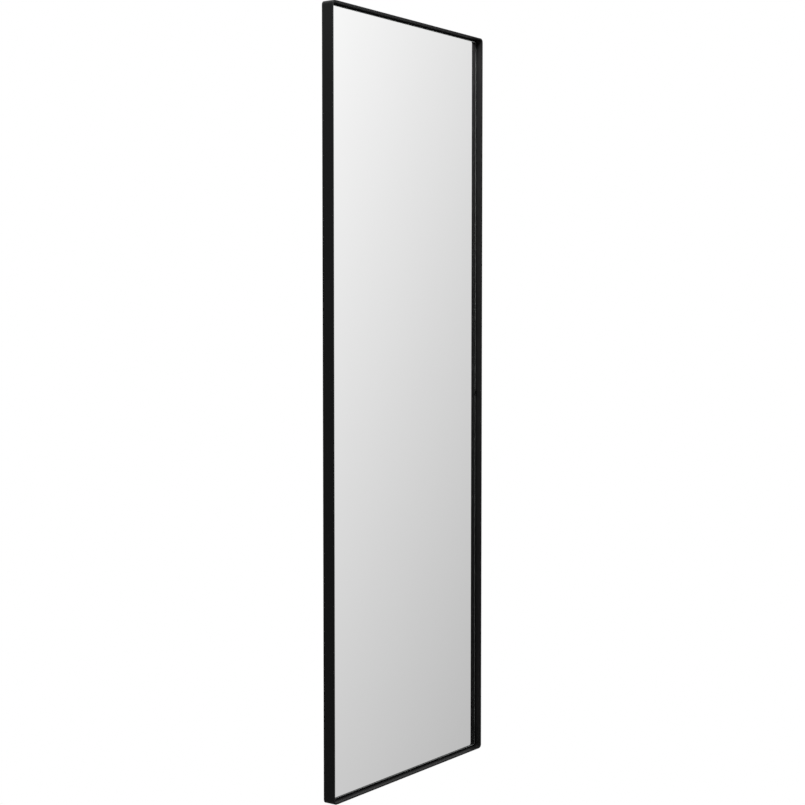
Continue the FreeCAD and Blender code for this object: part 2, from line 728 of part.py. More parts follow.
def make_swivel_bracket():
    """Bracket screwed to the panel, with two folded ears that turn on the pivot pin.

    The shoulder beside each ear meets the carriage's nose when the panel has turned a quarter.
    """
    body = new_body("swivel_bracket")
    base = new_sketch(body, "bracket_outline", "XZ_Plane", BRACKET_BACK)
    rectangle(base, BRACKET_LEFT, BRACKET_RIGHT, f"-{BRACKET_TOP}", BRACKET_TOP)
    pad(body, base, "bracket_base", "Sizes.bracket_wall")
    left = f"({PIVOT_X} - Sizes.knuckle_radius)"
    right = f"({PIVOT_X} + Sizes.knuckle_radius)"
    shoulder = f"({PIVOT_X} + {PIVOT_TO_CARRIAGE} + Sizes.carriage_wall)"
    stop = f"-({PIVOT_DEPTH} + Sizes.knuckle_radius + Sizes.rest_gap)"
    ear = new_sketch(body, "bracket_ear_outline", "XY_Plane", f"{BRACKET_TOP} - Sizes.bracket_wall")
    outline(
        ear,
        [
            (shoulder, f"-{PANEL_BACK}"),
            (shoulder, stop),
            (right, stop),
            (right, f"-{PIVOT_DEPTH}"),
            (left, f"-{PIVOT_DEPTH}"),
            (left, f"-{PANEL_BACK}"),
        ],
        {3: (PIVOT_X, f"-{PIVOT_DEPTH}")},
    )
    ear_pad = pad(body, ear, "bracket_ear", "Sizes.bracket_wall")
    mirror_up_down(body, "bracket_lower_ear", [ear_pad])
    sides = [(f"{left} - Sizes.fold_relief", left), (shoulder, f"{shoulder} + Sizes.fold_relief")]
    fold_reliefs(body, "bracket", BRACKET_BACK, BRACKET_TOP, sides)
    underside = f"{BRACKET_TOP} - Sizes.bracket_wall"
    round_folds(body, "bracket", (left, shoulder), (BRACKET_BACK, underside), (PANEL_BACK, BRACKET_TOP))
    bores = new_sketch(body, "bracket_bores", "XY_Plane")
    circle(bores, PIVOT_X, f"-{PIVOT_DEPTH}", f"{BUSH_RADIUS} + Sizes.fit_clearance")
    pocket(body, bores, "bracket_bush_bores")
    holes = new_sketch(body, "bracket_holes", "XZ_Plane", BRACKET_BACK)
    for x in BRACKET_SCREWS:
        for rise in (SLIDE_RISE, f"-{SLIDE_RISE}"):
            circle(holes, x, rise, "Sizes.bracket_screw / 2 + Sizes.fit_clearance")
    pocket(body, holes, "bracket_drilling")
    window = new_sketch(body, "bracket_window", "XZ_Plane", BRACKET_BACK)
    rectangle(
        window,
        f"{BRACKET_LEFT} + Sizes.bracket_window_inset",
        f"{BRACKET_LEFT} + Sizes.bracket_window_inset + Sizes.bracket_window_length",
        "-Sizes.bracket_window_height / 2",
        "Sizes.bracket_window_height / 2",
    )
    pocket(body, window, "bracket_lightening")
    half_window = size("bracket_window_height") / 2
    dress(
        body, "Fillet", "bracket_window_corners",
        lambda edge: runs_along(edge, "y") and near(abs(edge.CenterOfMass.z), half_window),
        "Sizes.window_corner_radius",
    )
    end = number(BRACKET_LEFT)
    dress(
        body, "Fillet", "bracket_corners",
        lambda edge: runs_along(edge, "y") and near(edge.CenterOfMass.x, end),
        "Sizes.plate_corner_radius",
    )


def make_bracket_screws():
    """Button-head screws of the swivel bracket."""
    back = number(BRACKET_BACK)
    head = size("bracket_screw_head") / 2
    rise = size("bracket_screw_head_height")
    shank = size("bracket_screw") / 2
    corners = [
        (back - size("head_rim"), head),
        (back, head),
        (back, shank),
        (number(TAPE_BACK), shank),
        (number(TAPE_BACK), 0),
    ]
    add_shape("bracket_screws", turned(corners, bracket_screw_places(), crown=back - rise))


def make_bushes():
    """Flanged bushes in the bracket's ears; their flanges face the carriage's ears."""
    length = f"({FLANGE_TOP} - {BUSH_END})"
    for name, side in SLIDES.items():
        low = BUSH_END if side > 0 else f"-{FLANGE_TOP}"
        flange_low = BRACKET_TOP if side > 0 else f"-{FLANGE_TOP}"
        sleeve = add_on_pivot("Cylinder", f"{name}_bush_sleeve", low, length, Radius=BUSH_RADIUS)
        flange = add_on_pivot(
            "Cylinder", f"{name}_bush_flange", flange_low, "Sizes.bush_flange", Radius=FLANGE_RADIUS
        )
        bore = add_on_pivot("Cylinder", f"{name}_bush_bore", low, length, Radius=BUSH_BORE)
        blank = combine("Fuse", f"{name}_bush_blank", sleeve, flange)
        combine("Cut", f"{name}_pivot_bush", blank, bore)


def make_pivot_pin():
    """Turned pin: a domed head on the upper ear, and a groove for its clip under the lower one."""
    body = new_body("pivot_pin", x=PIVOT_X, y=f"-{PIVOT_DEPTH}")
    low = f"(-{CARRIAGE_TOP} - Sizes.pin_tail)"
    groove_top = f"({CLIP_LOW} + Sizes.clip_thickness)"
    head = "(Sizes.pin_head_diameter / 2)"
    rise = "(Sizes.pin_head_height - Sizes.head_rim)"
    crown = f"({CARRIAGE_TOP} + Sizes.pin_head_height)"
    dome = f"(({head} ^ 2 + {rise} ^ 2) / (2 * {rise}))"
    sketch = new_sketch(body, "pin_outline", "XZ_Plane")
    outline(
        sketch,
        [
            ("0", low),
            (f"{PIN_RADIUS} - Sizes.pin_point", low),
            (PIN_RADIUS, f"{low} + Sizes.pin_point"),
            (PIN_RADIUS, CLIP_LOW),
            (GROOVE_RADIUS, CLIP_LOW),
            (GROOVE_RADIUS, groove_top),
            (PIN_RADIUS, groove_top),
            (PIN_RADIUS, CARRIAGE_TOP),
            (head, CARRIAGE_TOP),
            (head, f"{CARRIAGE_TOP} + Sizes.head_rim"),
            ("0", crown),
        ],
        {9: ("0", f"{crown} - {dome}")},
    )
    turning = body.newObject("PartDesign::Revolution", "pin_turning")
    turning.Profile = sketch
    turning.ReferenceAxis = (sketch, ["V_Axis"])
    turning.Angle = 360
    doc.recompute()


def make_pin_clip():
    """Spring clip that snaps sideways into the pin's groove and grips it at three places."""
    grip = f"({GROOVE_RADIUS} + Sizes.fit_clearance)"
    thick = "Sizes.clip_thickness"
    disc = add_on_pivot("Cylinder", "clip_disc", CLIP_LOW, thick, Radius="Sizes.clip_diameter / 2")
    bore = add_on_pivot("Cylinder", "clip_bore", CLIP_LOW, thick, Radius=grip)
    half_mouth = f"{grip} * Sizes.clip_mouth_share"
    mouth = add_primitive(
        "Box", "clip_mouth", x=PIVOT_X, y=f"-{PIVOT_DEPTH} - {half_mouth}", z=CLIP_LOW,
        Length="Sizes.clip_diameter", Width=f"{half_mouth} * 2", Height=thick,
    )
    opening = combine("Fuse", "clip_opening", bore, mouth)
    turn = "(Sizes.clip_relief_turn * 1 deg)"
    for name, side in SLIDES.items():
        relief = add_primitive(
            "Cylinder", f"clip_{name}_relief",
            x=f"{PIVOT_X} + {grip} * cos({turn})",
            y=f"-{PIVOT_DEPTH} + {side} * {grip} * sin({turn})",
            z=CLIP_LOW, Radius="Sizes.clip_relief", Height=thick,
        )
        opening = combine("Fuse", f"clip_opening_with_{name}_relief", opening, relief)
    combine("Cut", "pin_clip", disc, opening)


def make_washers():
    """Friction washers between the bush flanges and the carriage's ears."""
    washers = []
    for name, side in SLIDES.items():
        low = f"({WASHER_TOP} - Sizes.washer_thickness)" if side > 0 else f"-{WASHER_TOP}"
        thick = "Sizes.washer_thickness"
        disc = add_on_pivot("Cylinder", f"{name}_washer_disc", low, thick, Radius=FLANGE_RADIUS)
        bore = add_on_pivot("Cylinder", f"{name}_washer_bore", low, thick, Radius=BUSH_BORE)
        washers.append(combine("Cut", f"{name}_washer", disc, bore))
    gather("friction_washers", washers)


# ---------------------------------------------------------------------------------------------------
# Carriage and mounting plate
# ---------------------------------------------------------------------------------------------------
def window_sketch(body, name, offset, middle):
    """Draw two lightening windows side by side about a middle X."""
    sketch = new_sketch(body, name, "XZ_Plane", offset)
    for side in (-1, 1):
        centre = f"({middle} + {side} * Sizes.window_spacing / 2)"
        rectangle(
            sketch,
            f"{centre} - Sizes.window_length / 2",
            f"{centre} + Sizes.window_length / 2",
            "-Sizes.window_height / 2",
            "Sizes.window_height / 2",
        )
    return sketch


def is_window_corner(edge):
    """Say whether an edge is the corner of a lightening window."""
    return runs_along(edge, "y") and near(abs(edge.CenterOfMass.z), size("window_height") / 2)


def make_carriage():
    """Plate carried by the two inner slide members, with two folded ears for the pivot pin."""
    body = new_body("carriage_plate")
    web = new_sketch(body, "carriage_outline", "XZ_Plane", CARRIAGE_BACK)
    rectangle(web, RUNNER_REAR, CARRIAGE_END, f"-{CARRIAGE_TOP}", CARRIAGE_TOP)
    pad(body, web, "carriage_web", "Sizes.carriage_wall")
    ear = new_sketch(body, "carriage_ear_outline", "XY_Plane", EAR_UNDERSIDE)
    left = f"({PIVOT_X} - Sizes.knuckle_radius)"
    outline(
        ear,
        [
            (left, f"-{CARRIAGE_BACK}"),
            (left, f"-{PIVOT_DEPTH}"),
            (CARRIAGE_END, f"-{PIVOT_DEPTH}"),
            (CARRIAGE_END, f"-{CARRIAGE_BACK}"),
        ],
        {1: (PIVOT_X, f"-{PIVOT_DEPTH}")},
    )
    ear_pad = pad(body, ear, "carriage_ear", "Sizes.carriage_wall")
    mirror_up_down(body, "carriage_lower_ear", [ear_pad])
    fold_reliefs(body, "carriage", CARRIAGE_BACK, CARRIAGE_TOP, [(f"{left} - Sizes.fold_relief", left)])
    corners = [(CARRIAGE_FRONT, EAR_UNDERSIDE), (CARRIAGE_BACK, CARRIAGE_TOP)]
    round_folds(body, "carriage", (left, CARRIAGE_END), *corners)
    bores = new_sketch(body, "carriage_bores", "XY_Plane")
    circle(bores, PIVOT_X, f"-{PIVOT_DEPTH}", f"{PIN_RADIUS} + Sizes.fit_clearance")
    pocket(body, bores, "carriage_pin_bores")
    windows = window_sketch(body, "carriage_windows", CARRIAGE_BACK, f"({RUNNER_REAR} + {SLIDE_FRONT}) / 2")
    pocket(body, windows, "carriage_lightening")
    dress(body, "Fillet", "carriage_window_corners", is_window_corner, "Sizes.window_corner_radius")
    rear = number(RUNNER_REAR)
    dress(
        body, "Fillet", "carriage_corners",
        lambda edge: runs_along(edge, "y") and near(edge.CenterOfMass.x, rear),
        "Sizes.plate_corner_radius",
    )
    holes = new_sketch(body, "carriage_holes", "XZ_Plane", CARRIAGE_BACK)
    for x in ("-Sizes.rivet_spacing", "0", "Sizes.rivet_spacing"):
        for rise in (SLIDE_RISE, f"-{SLIDE_RISE}"):
            circle(holes, x, rise, "Sizes.rivet_diameter / 2 + Sizes.fit_clearance")
    for rise in ("Sizes.buffer_spacing / 2", "-Sizes.buffer_spacing / 2"):
        circle(holes, BUFFER_X, rise, "Sizes.buffer_stem / 2 + Sizes.fit_clearance")
    pocket(body, holes, "carriage_drilling")


def make_mounting_plate():
    """Plate screwed to the cabinet side, with folded lips along its top and bottom."""
    body = new_body("mounting_plate")
    web = new_sketch(body, "plate_outline", "XZ_Plane")
    rectangle(web, SLIDE_REAR, SLIDE_FRONT, f"-{PLATE_TOP}", PLATE_TOP)
    pad(body, web, "plate_web", "Sizes.plate_wall")
    lips = new_sketch(body, "plate_lips_outline", "XZ_Plane")
    rectangle(lips, SLIDE_REAR, SLIDE_FRONT, f"{PLATE_TOP} - Sizes.plate_wall", PLATE_TOP)
    rectangle(lips, SLIDE_REAR, SLIDE_FRONT, f"-{PLATE_TOP}", f"-({PLATE_TOP} - Sizes.plate_wall)")
    pad(body, lips, "plate_lips", "Sizes.plate_lip")
    top = number(PLATE_TOP)
    dress(
        body, "Fillet", "plate_outer_bends",
        lambda edge: runs_along(edge, "x")
        and near(edge.CenterOfMass.y, 0)
        and near(abs(edge.CenterOfMass.z), top),
        "Sizes.plate_bend",
    )
    under = top - size("plate_wall")
    dress(
        body, "Fillet", "plate_inner_bends",
        lambda edge: runs_along(edge, "x")
        and near(edge.CenterOfMass.y, -size("plate_wall"))
        and near(abs(edge.CenterOfMass.z), under),
        "Sizes.plate_bend - Sizes.plate_wall",
    )
    end = number(SLIDE_FRONT)
    lip = -size("plate_lip")
    dress(
        body, "Fillet", "plate_lip_corners",
        lambda edge: runs_along(edge, "z")
        and near(edge.CenterOfMass.y, lip)
        and near(abs(edge.CenterOfMass.x), end),
        "Sizes.lip_corner_radius",
    )
    windows = window_sketch(body, "plate_windows", "0", "0")
    pocket(body, windows, "plate_lightening")
    dress(body, "Fillet", "plate_window_corners", is_window_corner, "Sizes.window_corner_radius")
    holes = new_sketch(body, "plate_holes", "XZ_Plane")
    for x in ("-Sizes.fixing_columns / 2", "Sizes.fixing_columns / 2"):
        for z in ("-Sizes.fixing_rows / 2", "Sizes.fixing_rows / 2"):
            circle(holes, x, z, "Sizes.fixing_hole / 2")
    for x in ("-Sizes.rivet_spacing", "0", "Sizes.rivet_spacing"):
        for rise in (SLIDE_RISE, f"-{SLIDE_RISE}"):
            circle(holes, x, rise, "Sizes.rivet_diameter / 2 + Sizes.fit_clearance")
    pocket(body, holes, "plate_drilling")


# ---------------------------------------------------------------------------------------------------
# Telescopic slides
# ---------------------------------------------------------------------------------------------------
class Tracks:
    """Rows of balls and the webs of the members, in a slide's own section.

    Depths are measured from the slide's rear face, heights from its middle line.
    """

    wall = size("slide_wall")
    flank_bend = size("flank_bend")
    cage = size("cage_wall")
    gap = size("cage_gap")
    ball = size("ball_diameter") / 2
    race = ball + size("race_clearance")
    radius = race + wall / 2
    back = race + wall
    slope = math.radians(90 - size("race_half_angle"))
    reach = radius * math.sin(slope)
    tip = back * math.cos(slope)

    outer_web = wall / 2
    outer_cage_web = wall + gap + cage / 2
    middle_web = wall * 1.5 + 2 * gap + cage
    inner_cage_web = middle_web + wall / 2 + gap + cage / 2
    inner_web = size("slide_depth") - wall / 2

    row_step = back + gap + cage / 2
    lean = math.acos(row_step / (2 * radius))
    outer_height = size("slide_height") / 2 - back
    inner_height = outer_height - row_step
    inner_depth = inner_cage_web + cage / 2 + gap + tip
    outer_depth = inner_depth + 2 * radius * math.sin(lean)


def rivet_places():
    """Return the (x, z) of the rivets of one slide, in the slide's own frame."""
    spacing = size("rivet_spacing")
    return [(-spacing, 0), (0, 0), (spacing, 0)]


def drilled(shape, radius, shift):
    """Drill a slide member's web for its rivets; shift is the X of its rear end."""
    for x, z in rivet_places():
        shape = shape.cut(bore_along_y(radius, size("slide_depth"), x - shift, 0, z))
    return shape


def slotted(shape, shift):
    """Cut round-ended slots through a slide member's web, which give access to the rivets behind."""
    radius = size("access_slot_height") / 2
    half_run = size("access_slot_length") / 2 - radius
    depth = size("slide_depth")
    for x, z in rivet_places():
        middle = x - shift
        corner = FreeCAD.Vector(middle - half_run, -depth, z - radius)
        slot = Part.makeBox(2 * half_run, depth, 2 * radius, corner)
        for end in (middle - half_run, middle + half_run):
            slot = slot.fuse(bore_along_y(radius, depth, end, 0, z))
        shape = shape.cut(slot)
    return shape


def with_cage_stops(shape, web, shift):
    """Stamp two stops into a slide member's web, one past each end of its cage's travel.

    web is the depth of the web's middle; each stop is a low dome in front with a dent behind.
    """
    radius = size("cage_stop_radius")
    rise = size("cage_stop_rise")
    half_cage = number(CAGE_LENGTH) / 2
    past = size("cage_stop_gap") + radius
    places = [(-half_cage - past - shift, 0), (half_cage + number(CAGE_TRAVEL) + past - shift, 0)]
    front = web + Tracks.wall / 2
    back = web - Tracks.wall / 2
    domes = turned([(front, radius), (front, 0)], places, crown=front + rise)
    dents = turned([(back, size("cage_stop_dent")), (back, 0)], places, crown=back + rise)
    return shape.fuse(domes.Solids).cut(dents)


def outer_member():
    """C channel fixed to the plate; its flanges cup the outer rows from outside."""
    t = Tracks
    flange = t.outer_height + t.reach - size("flank")
    crown = t.outer_height + t.radius / math.sin(t.slope)
    drop = t.radius * math.cos(t.slope)
    shoulder = t.outer_depth - (crown - flange) * math.tan(t.slope)
    path = [
        (flange, t.outer_web),
        (flange, shoulder),
        (crown, t.outer_depth),
        (t.outer_height + t.reach, t.outer_depth + drop),
    ]
    return channel(path, [t.wall, t.flank_bend, t.radius], t.wall, size("slide_length"))


def middle_path():
    """Corners of the middle member's flange: it curls round the inner row, then round the outer one."""
    t = Tracks
    turn = math.radians(size("race_half_angle")) + t.lean
    corner = t.radius / math.cos(turn / 2)
    aim = (t.lean - math.radians(size("race_half_angle"))) / 2
    inner = (t.inner_height + corner * math.cos(aim), t.inner_depth + corner * math.sin(aim))
    outer = (t.outer_height - corner * math.cos(aim), t.outer_depth - corner * math.sin(aim))
    run = (inner[1] - t.middle_web) / math.sin(t.slope)
    bend = (inner[0] - run * math.cos(t.slope), t.middle_web)
    straight = t.radius * math.tan(turn / 2)
    tip = (outer[0] + straight * math.cos(t.slope), outer[1] + straight * math.sin(t.slope))
    return [bend, inner, outer, tip]


def middle_member():
    """Member between the two pairs of ball rows, with an S-shaped flange."""
    t = Tracks
    return channel(middle_path(), [t.wall, t.radius, t.radius], t.wall, number(RUNNER_LENGTH))


def inner_member():
    """C channel that carries the carriage; its flanges cup the inner rows from inside."""
    t = Tracks
    flange = t.inner_height - t.reach + size("flank")
    crown = t.inner_height - t.radius / math.sin(t.slope)
    drop = t.radius * math.cos(t.slope)
    shoulder = t.inner_depth + (flange - crown) * math.tan(t.slope)
    path = [
        (flange, t.inner_web),
        (flange, shoulder),
        (crown, t.inner_depth),
        (t.inner_height - t.reach, t.inner_depth - drop),
    ]
    return channel(path, [t.wall, t.flank_bend, t.radius], t.wall, number(RUNNER_LENGTH))


def ball_stations():
    """Return the X of each ball of a row, from the cage's rear end."""
    count = int(size("balls_per_row"))
    pitch = number(CAGE_LENGTH) / count
    return [pitch * (index + 0.5) for index in range(count)]


def with_pockets(shape, height, depth):
    """Punch a pocket for each ball through both flanges of a cage."""
    t = Tracks
    radius = t.ball + size("pocket_clearance")
    for x in ball_stations():
        for side in (1, -1):
            start = FreeCAD.Vector(x, -depth, side * height - t.ball)
            shape = shape.cut(Part.makeCylinder(radius, 2 * t.ball, start))
    return shape


def outer_cage():
    """U-shaped strip that spaces the outer rows."""
    t = Tracks
    end = t.outer_depth + t.ball + size("cage_lip")
    path = [(t.outer_height, t.outer_cage_web), (t.outer_height, end)]
    cage = channel(path, [2 * t.cage], t.cage, number(CAGE_LENGTH))
    return with_pockets(cage, t.outer_height, t.outer_depth)


def inner_cage():
    """Strip that spaces the inner rows; it leans outwards beside the middle member's bend."""
    t = Tracks
    bend_height, bend_depth = middle_path()[0]
    aside = t.inner_cage_web - t.middle_web
    on_lean = (bend_height - aside * math.sin(t.slope), bend_depth + aside * math.cos(t.slope))
    first = on_lean[0] + (t.inner_cage_web - on_lean[1]) / math.tan(t.slope)
    second = on_lean[1] + (t.inner_height - on_lean[0]) * math.tan(t.slope)
    end = t.inner_depth + t.ball + size("cage_lip")
    path = [(first, t.inner_cage_web), (t.inner_height, second), (t.inner_height, end)]
    cage = channel(path, [2 * t.cage, 2 * t.cage], t.cage, number(CAGE_LENGTH))
    return with_pockets(cage, t.inner_height, t.inner_depth)


def balls(height, depth):
    """Return the balls of an upper and a lower row."""
    spheres = []
    for x in ball_stations():
        for side in (1, -1):
            spheres.append(Part.makeSphere(Tracks.ball, FreeCAD.Vector(x, -depth, side * height)))
    return Part.makeCompound(spheres)


def make_slides():
    """Two slides, each of three members, two cages and four rows of balls."""
    t = Tracks
    rivet = size("rivet_diameter") / 2 + size("fit_clearance")
    fixed_rear = number(SLIDE_REAR)
    runner_rear = number(RUNNER_REAR)
    fixed = with_cage_stops(drilled(outer_member(), rivet, fixed_rear), t.outer_web, fixed_rear)
    middle = with_cage_stops(slotted(middle_member(), runner_rear), t.middle_web, runner_rear)
    moving = drilled(inner_member(), rivet, runner_rear)
    pieces = {
        "outer_member": (fixed, SLIDE_REAR),
        "middle_member": (middle, RUNNER_REAR),
        "inner_member": (moving, RUNNER_REAR),
        "outer_cage": (outer_cage(), f"-{CAGE_LENGTH} / 2"),
        "inner_cage": (inner_cage(), f"-{CAGE_LENGTH} / 2"),
        "outer_balls": (balls(t.outer_height, t.outer_depth), f"-{CAGE_LENGTH} / 2"),
        "inner_balls": (balls(t.inner_height, t.inner_depth), f"-{CAGE_LENGTH} / 2"),
    }
    for name, side in SLIDES.items():
        for piece, (shape, rear) in pieces.items():
            add_shape(f"{name}_{piece}", shape, x=rear, y="-Sizes.plate_wall", z=f"{side} * {SLIDE_RISE}")


def make_plate_rivets():
    """Rivets through the outer members and the mounting plate, flush on both faces."""
    radius = size("rivet_diameter") / 2
    end = size("plate_wall") + size("slide_wall")
    rise = number(SLIDE_RISE)
    places = [(x, side * rise) for x, _ in rivet_places() for side in (1, -1)]
    corners = [(0, 0), (0, radius), (end, radius), (end, 0)]
    add_shape("plate_rivets", turned(corners, places))


def make_carriage_rivets():
    """Domed rivets through the carriage and the inner members' webs."""
    radius = size("rivet_diameter") / 2
    head = size("rivet_head") / 2
    upset = size("rivet_upset") / 2
    front = number(CARRIAGE_FRONT)
    web = number(CARRIAGE_BACK) - size("slide_wall")
    upset_end = web - size("rivet_upset_height")
    corners = [
        (front, head),
        (front, radius),
        (web, radius),
        (web, upset),
        (upset_end, upset),
        (upset_end, 0),
    ]
    rise = number(SLIDE_RISE)
    places = [(x, side * rise) for x, _ in rivet_places() for side in (1, -1)]
    add_shape("carriage_rivets", turned(corners, places, crown=front + size("rivet_head_height")))


def make_rear_buffers():
    """Plastic blocks in the rear ends of the outer members; the runners stop against their jaws."""
    length = size("rear_buffer_length")
    height = size("rear_buffer_height")
    depth = size("slide_depth") - 2 * size("slide_wall")
    block = Part.makeBox(length, depth, height)
    edges = [edge for edge in block.Edges if runs_along(edge, "x")]
    block = block.makeFillet(size("rear_buffer_edge"), edges)
    slot_length = size("rear_buffer_slot_length")
    slot_height = size("rear_buffer_slot_height")
    corner = FreeCAD.Vector(length - slot_length, 0, (height - slot_height) / 2)
    block = block.cut(Part.makeBox(slot_length, depth, slot_height, corner))
    blocks = [
        block.translated(FreeCAD.Vector(0, 0, side * number(SLIDE_RISE) - height / 2))
        for side in SLIDES.values()
    ]
    front = "-(Sizes.plate_wall + Sizes.slide_depth - Sizes.slide_wall)"
    add_shape("rear_buffers", Part.makeCompound(blocks), x=SLIDE_REAR, y=front)


def make_rest_buffers():
    """Rubber buffers on the carriage; the closed panel rests against them."""
    radius = size("buffer_diameter") / 2
    stem = size("buffer_stem") / 2
    front = number(CARRIAGE_FRONT)
    back = number(CARRIAGE_BACK)
    end = number(BOARD_BACK) - size("rest_gap")
    corners = [
        (end - size("buffer_dome"), radius),
        (front, radius),
        (front, stem),
        (back, stem),
        (back, 0),
    ]
    rise = size("buffer_spacing") / 2
    x = number(BUFFER_X)
    add_shape("rest_buffers", turned(corners, [(x, rise), (x, -rise)], crown=end))


# ---------------------------------------------------------------------------------------------------
# Build, check and export
# ---------------------------------------------------------------------------------------------------
NODES = [
    "mirror_frame", "mirror_glass", "mirror_tape", "backing_board", "frame_lugs", "board_screws",
    "upper_cross_rail", "lower_cross_rail", "weld_nuts", "glass_side_clips",
    "swivel_bracket", "bracket_screws", "upper_pivot_bush", "lower_pivot_bush",
    "pivot_pin", "pin_clip", "friction_washers", "carriage_plate", "carriage_rivets", "rest_buffers",
    "mounting_plate", "plate_rivets", "rear_buffers",
] + [
    f"{name}_{piece}"
    for name in SLIDES
    for piece in (
        "outer_member", "middle_member", "inner_member",
        "outer_cage", "inner_cage", "outer_balls", "inner_balls",
    )
]

make_frame()
make_glass()
make_tape()
make_board()
make_lugs()
make_board_screws()
make_cross_rails()
make_weld_nuts()
make_side_clips()
make_swivel_bracket()
make_bracket_screws()
make_bushes()
make_pivot_pin()
make_pin_clip()
make_washers()
make_carriage()
make_mounting_plate()
make_slides()
make_plate_rivets()
make_carriage_rivets()
make_rear_buffers()
make_rest_buffers()
doc.recompute()

for item in doc.Objects:
    if "Invalid" in item.State or "Error" in item.State:
        raise RuntimeError(f"{item.Label} failed: {item.State}")

os.makedirs("parts", exist_ok=True)
for node in NODES:
    item = doc.getObjectsByLabel(node)[0]
    if item.Shape.isNull() or not item.Shape.isValid():
        raise RuntimeError(f"{node} has no valid shape")
    item.Shape.exportStep(f"parts/{node}.step")
    print(f"{node}: {len(item.Shape.Solids)} solids, {item.Shape.Volume:.0f} mm3")
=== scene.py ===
"""Looks of a pull-out wardrobe mirror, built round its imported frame.

Lengths are in metres. X is the pull-out direction, the room lies towards -Y and +Z is up.
"""

import json
import logging
import math
from collections.abc import Callable, Iterator
from contextlib import contextmanager
from dataclasses import dataclass
from enum import Enum

import bmesh
import bpy
from bpy.types import ColorRamp, Material, Node, NodeSocket, NodeTree, Object
from mathutils import Matrix, Vector


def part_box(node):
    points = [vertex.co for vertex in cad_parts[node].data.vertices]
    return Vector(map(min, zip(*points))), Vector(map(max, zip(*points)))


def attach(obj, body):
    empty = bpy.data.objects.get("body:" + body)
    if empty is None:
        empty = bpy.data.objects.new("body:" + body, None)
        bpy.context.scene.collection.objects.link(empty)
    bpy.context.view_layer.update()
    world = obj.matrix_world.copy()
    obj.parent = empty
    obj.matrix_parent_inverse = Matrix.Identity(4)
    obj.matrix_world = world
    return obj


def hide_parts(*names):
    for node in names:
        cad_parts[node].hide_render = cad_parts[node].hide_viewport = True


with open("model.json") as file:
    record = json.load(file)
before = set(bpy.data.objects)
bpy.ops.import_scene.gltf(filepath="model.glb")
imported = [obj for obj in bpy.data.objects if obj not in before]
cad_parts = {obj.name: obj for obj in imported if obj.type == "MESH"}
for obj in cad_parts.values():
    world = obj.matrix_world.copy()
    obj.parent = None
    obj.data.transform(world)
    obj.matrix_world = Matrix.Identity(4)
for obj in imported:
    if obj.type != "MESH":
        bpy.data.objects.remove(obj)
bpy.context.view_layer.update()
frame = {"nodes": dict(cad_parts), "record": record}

LOG = logging.getLogger("wardrobe_mirror")
MM = 0.001
# Points nearer than WELD are one point, and lengths that differ by less than HAIR are equal.
WELD, HAIR = MM / 1000, MM / 100
# Edges that turn by more degrees than SHARP are eased, and by fewer than FLAT are taken out.
SHARP, FLAT = 40.0, 0.5
# A face looks along an axis when more than this part of its normal points that way.
FACING = 0.9
# The range that most of a noise lies in.
MIDDLE = (0.3, 0.7)

Colour = Point = tuple[float, float, float]
Span = tuple[float, float]
WHITE: Colour = (1.0, 1.0, 1.0)


class Slot(Enum):
    """The record's material slots, each named as the palette names its finish."""

    POWDER_COAT = "black_powder_coat"
    SILVERING = "silvered_glass"
    TAPE = "foam_tape"
    BOARD = "hardboard"
    ZINC = "zinc_steel"
    BALLS = "bearing_steel"
    BLACK_PLASTIC = "black_plastic"
    WHITE_PLASTIC = "white_plastic"
    RUBBER = "black_rubber"


class Drive(Enum):
    """The recess that a screw is turned by."""

    CROSS = "cross recess"
    HEX = "hexagon socket"


# --- Shader graphs ---
class Graph:
    """Adds and links the nodes of one material or world."""

    def __init__(self, tree: NodeTree) -> None:
        """Start with an empty tree."""
        self.tree = tree
        self.tree.nodes.clear()

    def add(self, kind: str, **settings: object) -> Node:
        """Add a node and set its properties.

        Args:
            kind: The node's type without its "ShaderNode" prefix.
            settings: Properties of the node, by name.

        Returns:
            The new node.
        """
        node = self.tree.nodes.new(f"ShaderNode{kind}")
        for key, value in settings.items():
            setattr(node, key, value)
        return node

    def feed(self, node: Node, key: str | int, value: object) -> None:
        """Give an input a socket's output or a plain value.

        Args:
            node: The node that takes the value.
            key: The input's name or number.
            value: An output socket, a number, a colour or a vector.
        """
        socket = node.inputs[key]
        if isinstance(value, NodeSocket):
            self.tree.links.new(value, socket)
        elif isinstance(value, tuple) and len(value) == 3 and socket.type == "RGBA":
            socket.default_value = (*value, 1)
        else:
            socket.default_value = value

    def run(
        self, kind: str, inputs: dict[int | str, object], output: int | str = 0, **settings: object
    ) -> NodeSocket:
        """Run values through a new node.

        Args:
            kind: The node's type without its "ShaderNode" prefix.
            inputs: What each input is given, by its name or number.
            output: The name or number of the output.
            settings: Properties of the node, by name.

        Returns:
            The output's socket.
        """
        node = self.add(kind, **settings)
        for key, value in inputs.items():
            self.feed(node, key, value)
        return node.outputs[output]

    def maths(self, operation: str, first: object, second: object) -> NodeSocket:
        """Combine two numbers or their sockets."""
        return self.run("Math", {0: first, 1: second}, operation=operation)

    def spread(
        self, value: object, low: float, high: float, to_low: float, to_high: float, soft: bool = False
    ) -> NodeSocket:
        """Map a number from one range to another, clamped at both ends.

        Args:
            value: The number's socket.
            low: Where the input range starts.
            high: Where it ends.
            to_low: The result at its start.
            to_high: The result at its end.
            soft: Whether both ends ease in.

        Returns:
            The mapped number's socket.
        """
        inputs = dict(enumerate((value, low, high, to_low, to_high)))
        return self.run("MapRange", inputs, interpolation_type="SMOOTHSTEP" if soft else "LINEAR")

    def blend(self, share: object, first: object, second: object) -> NodeSocket:
        """Mix two colours or their sockets by the second one's share."""
        # The colours are inputs 6 and 7 of the node, and its output 2.
        return self.run("Mix", {0: share, 6: first, 7: second}, 2, data_type="RGBA")


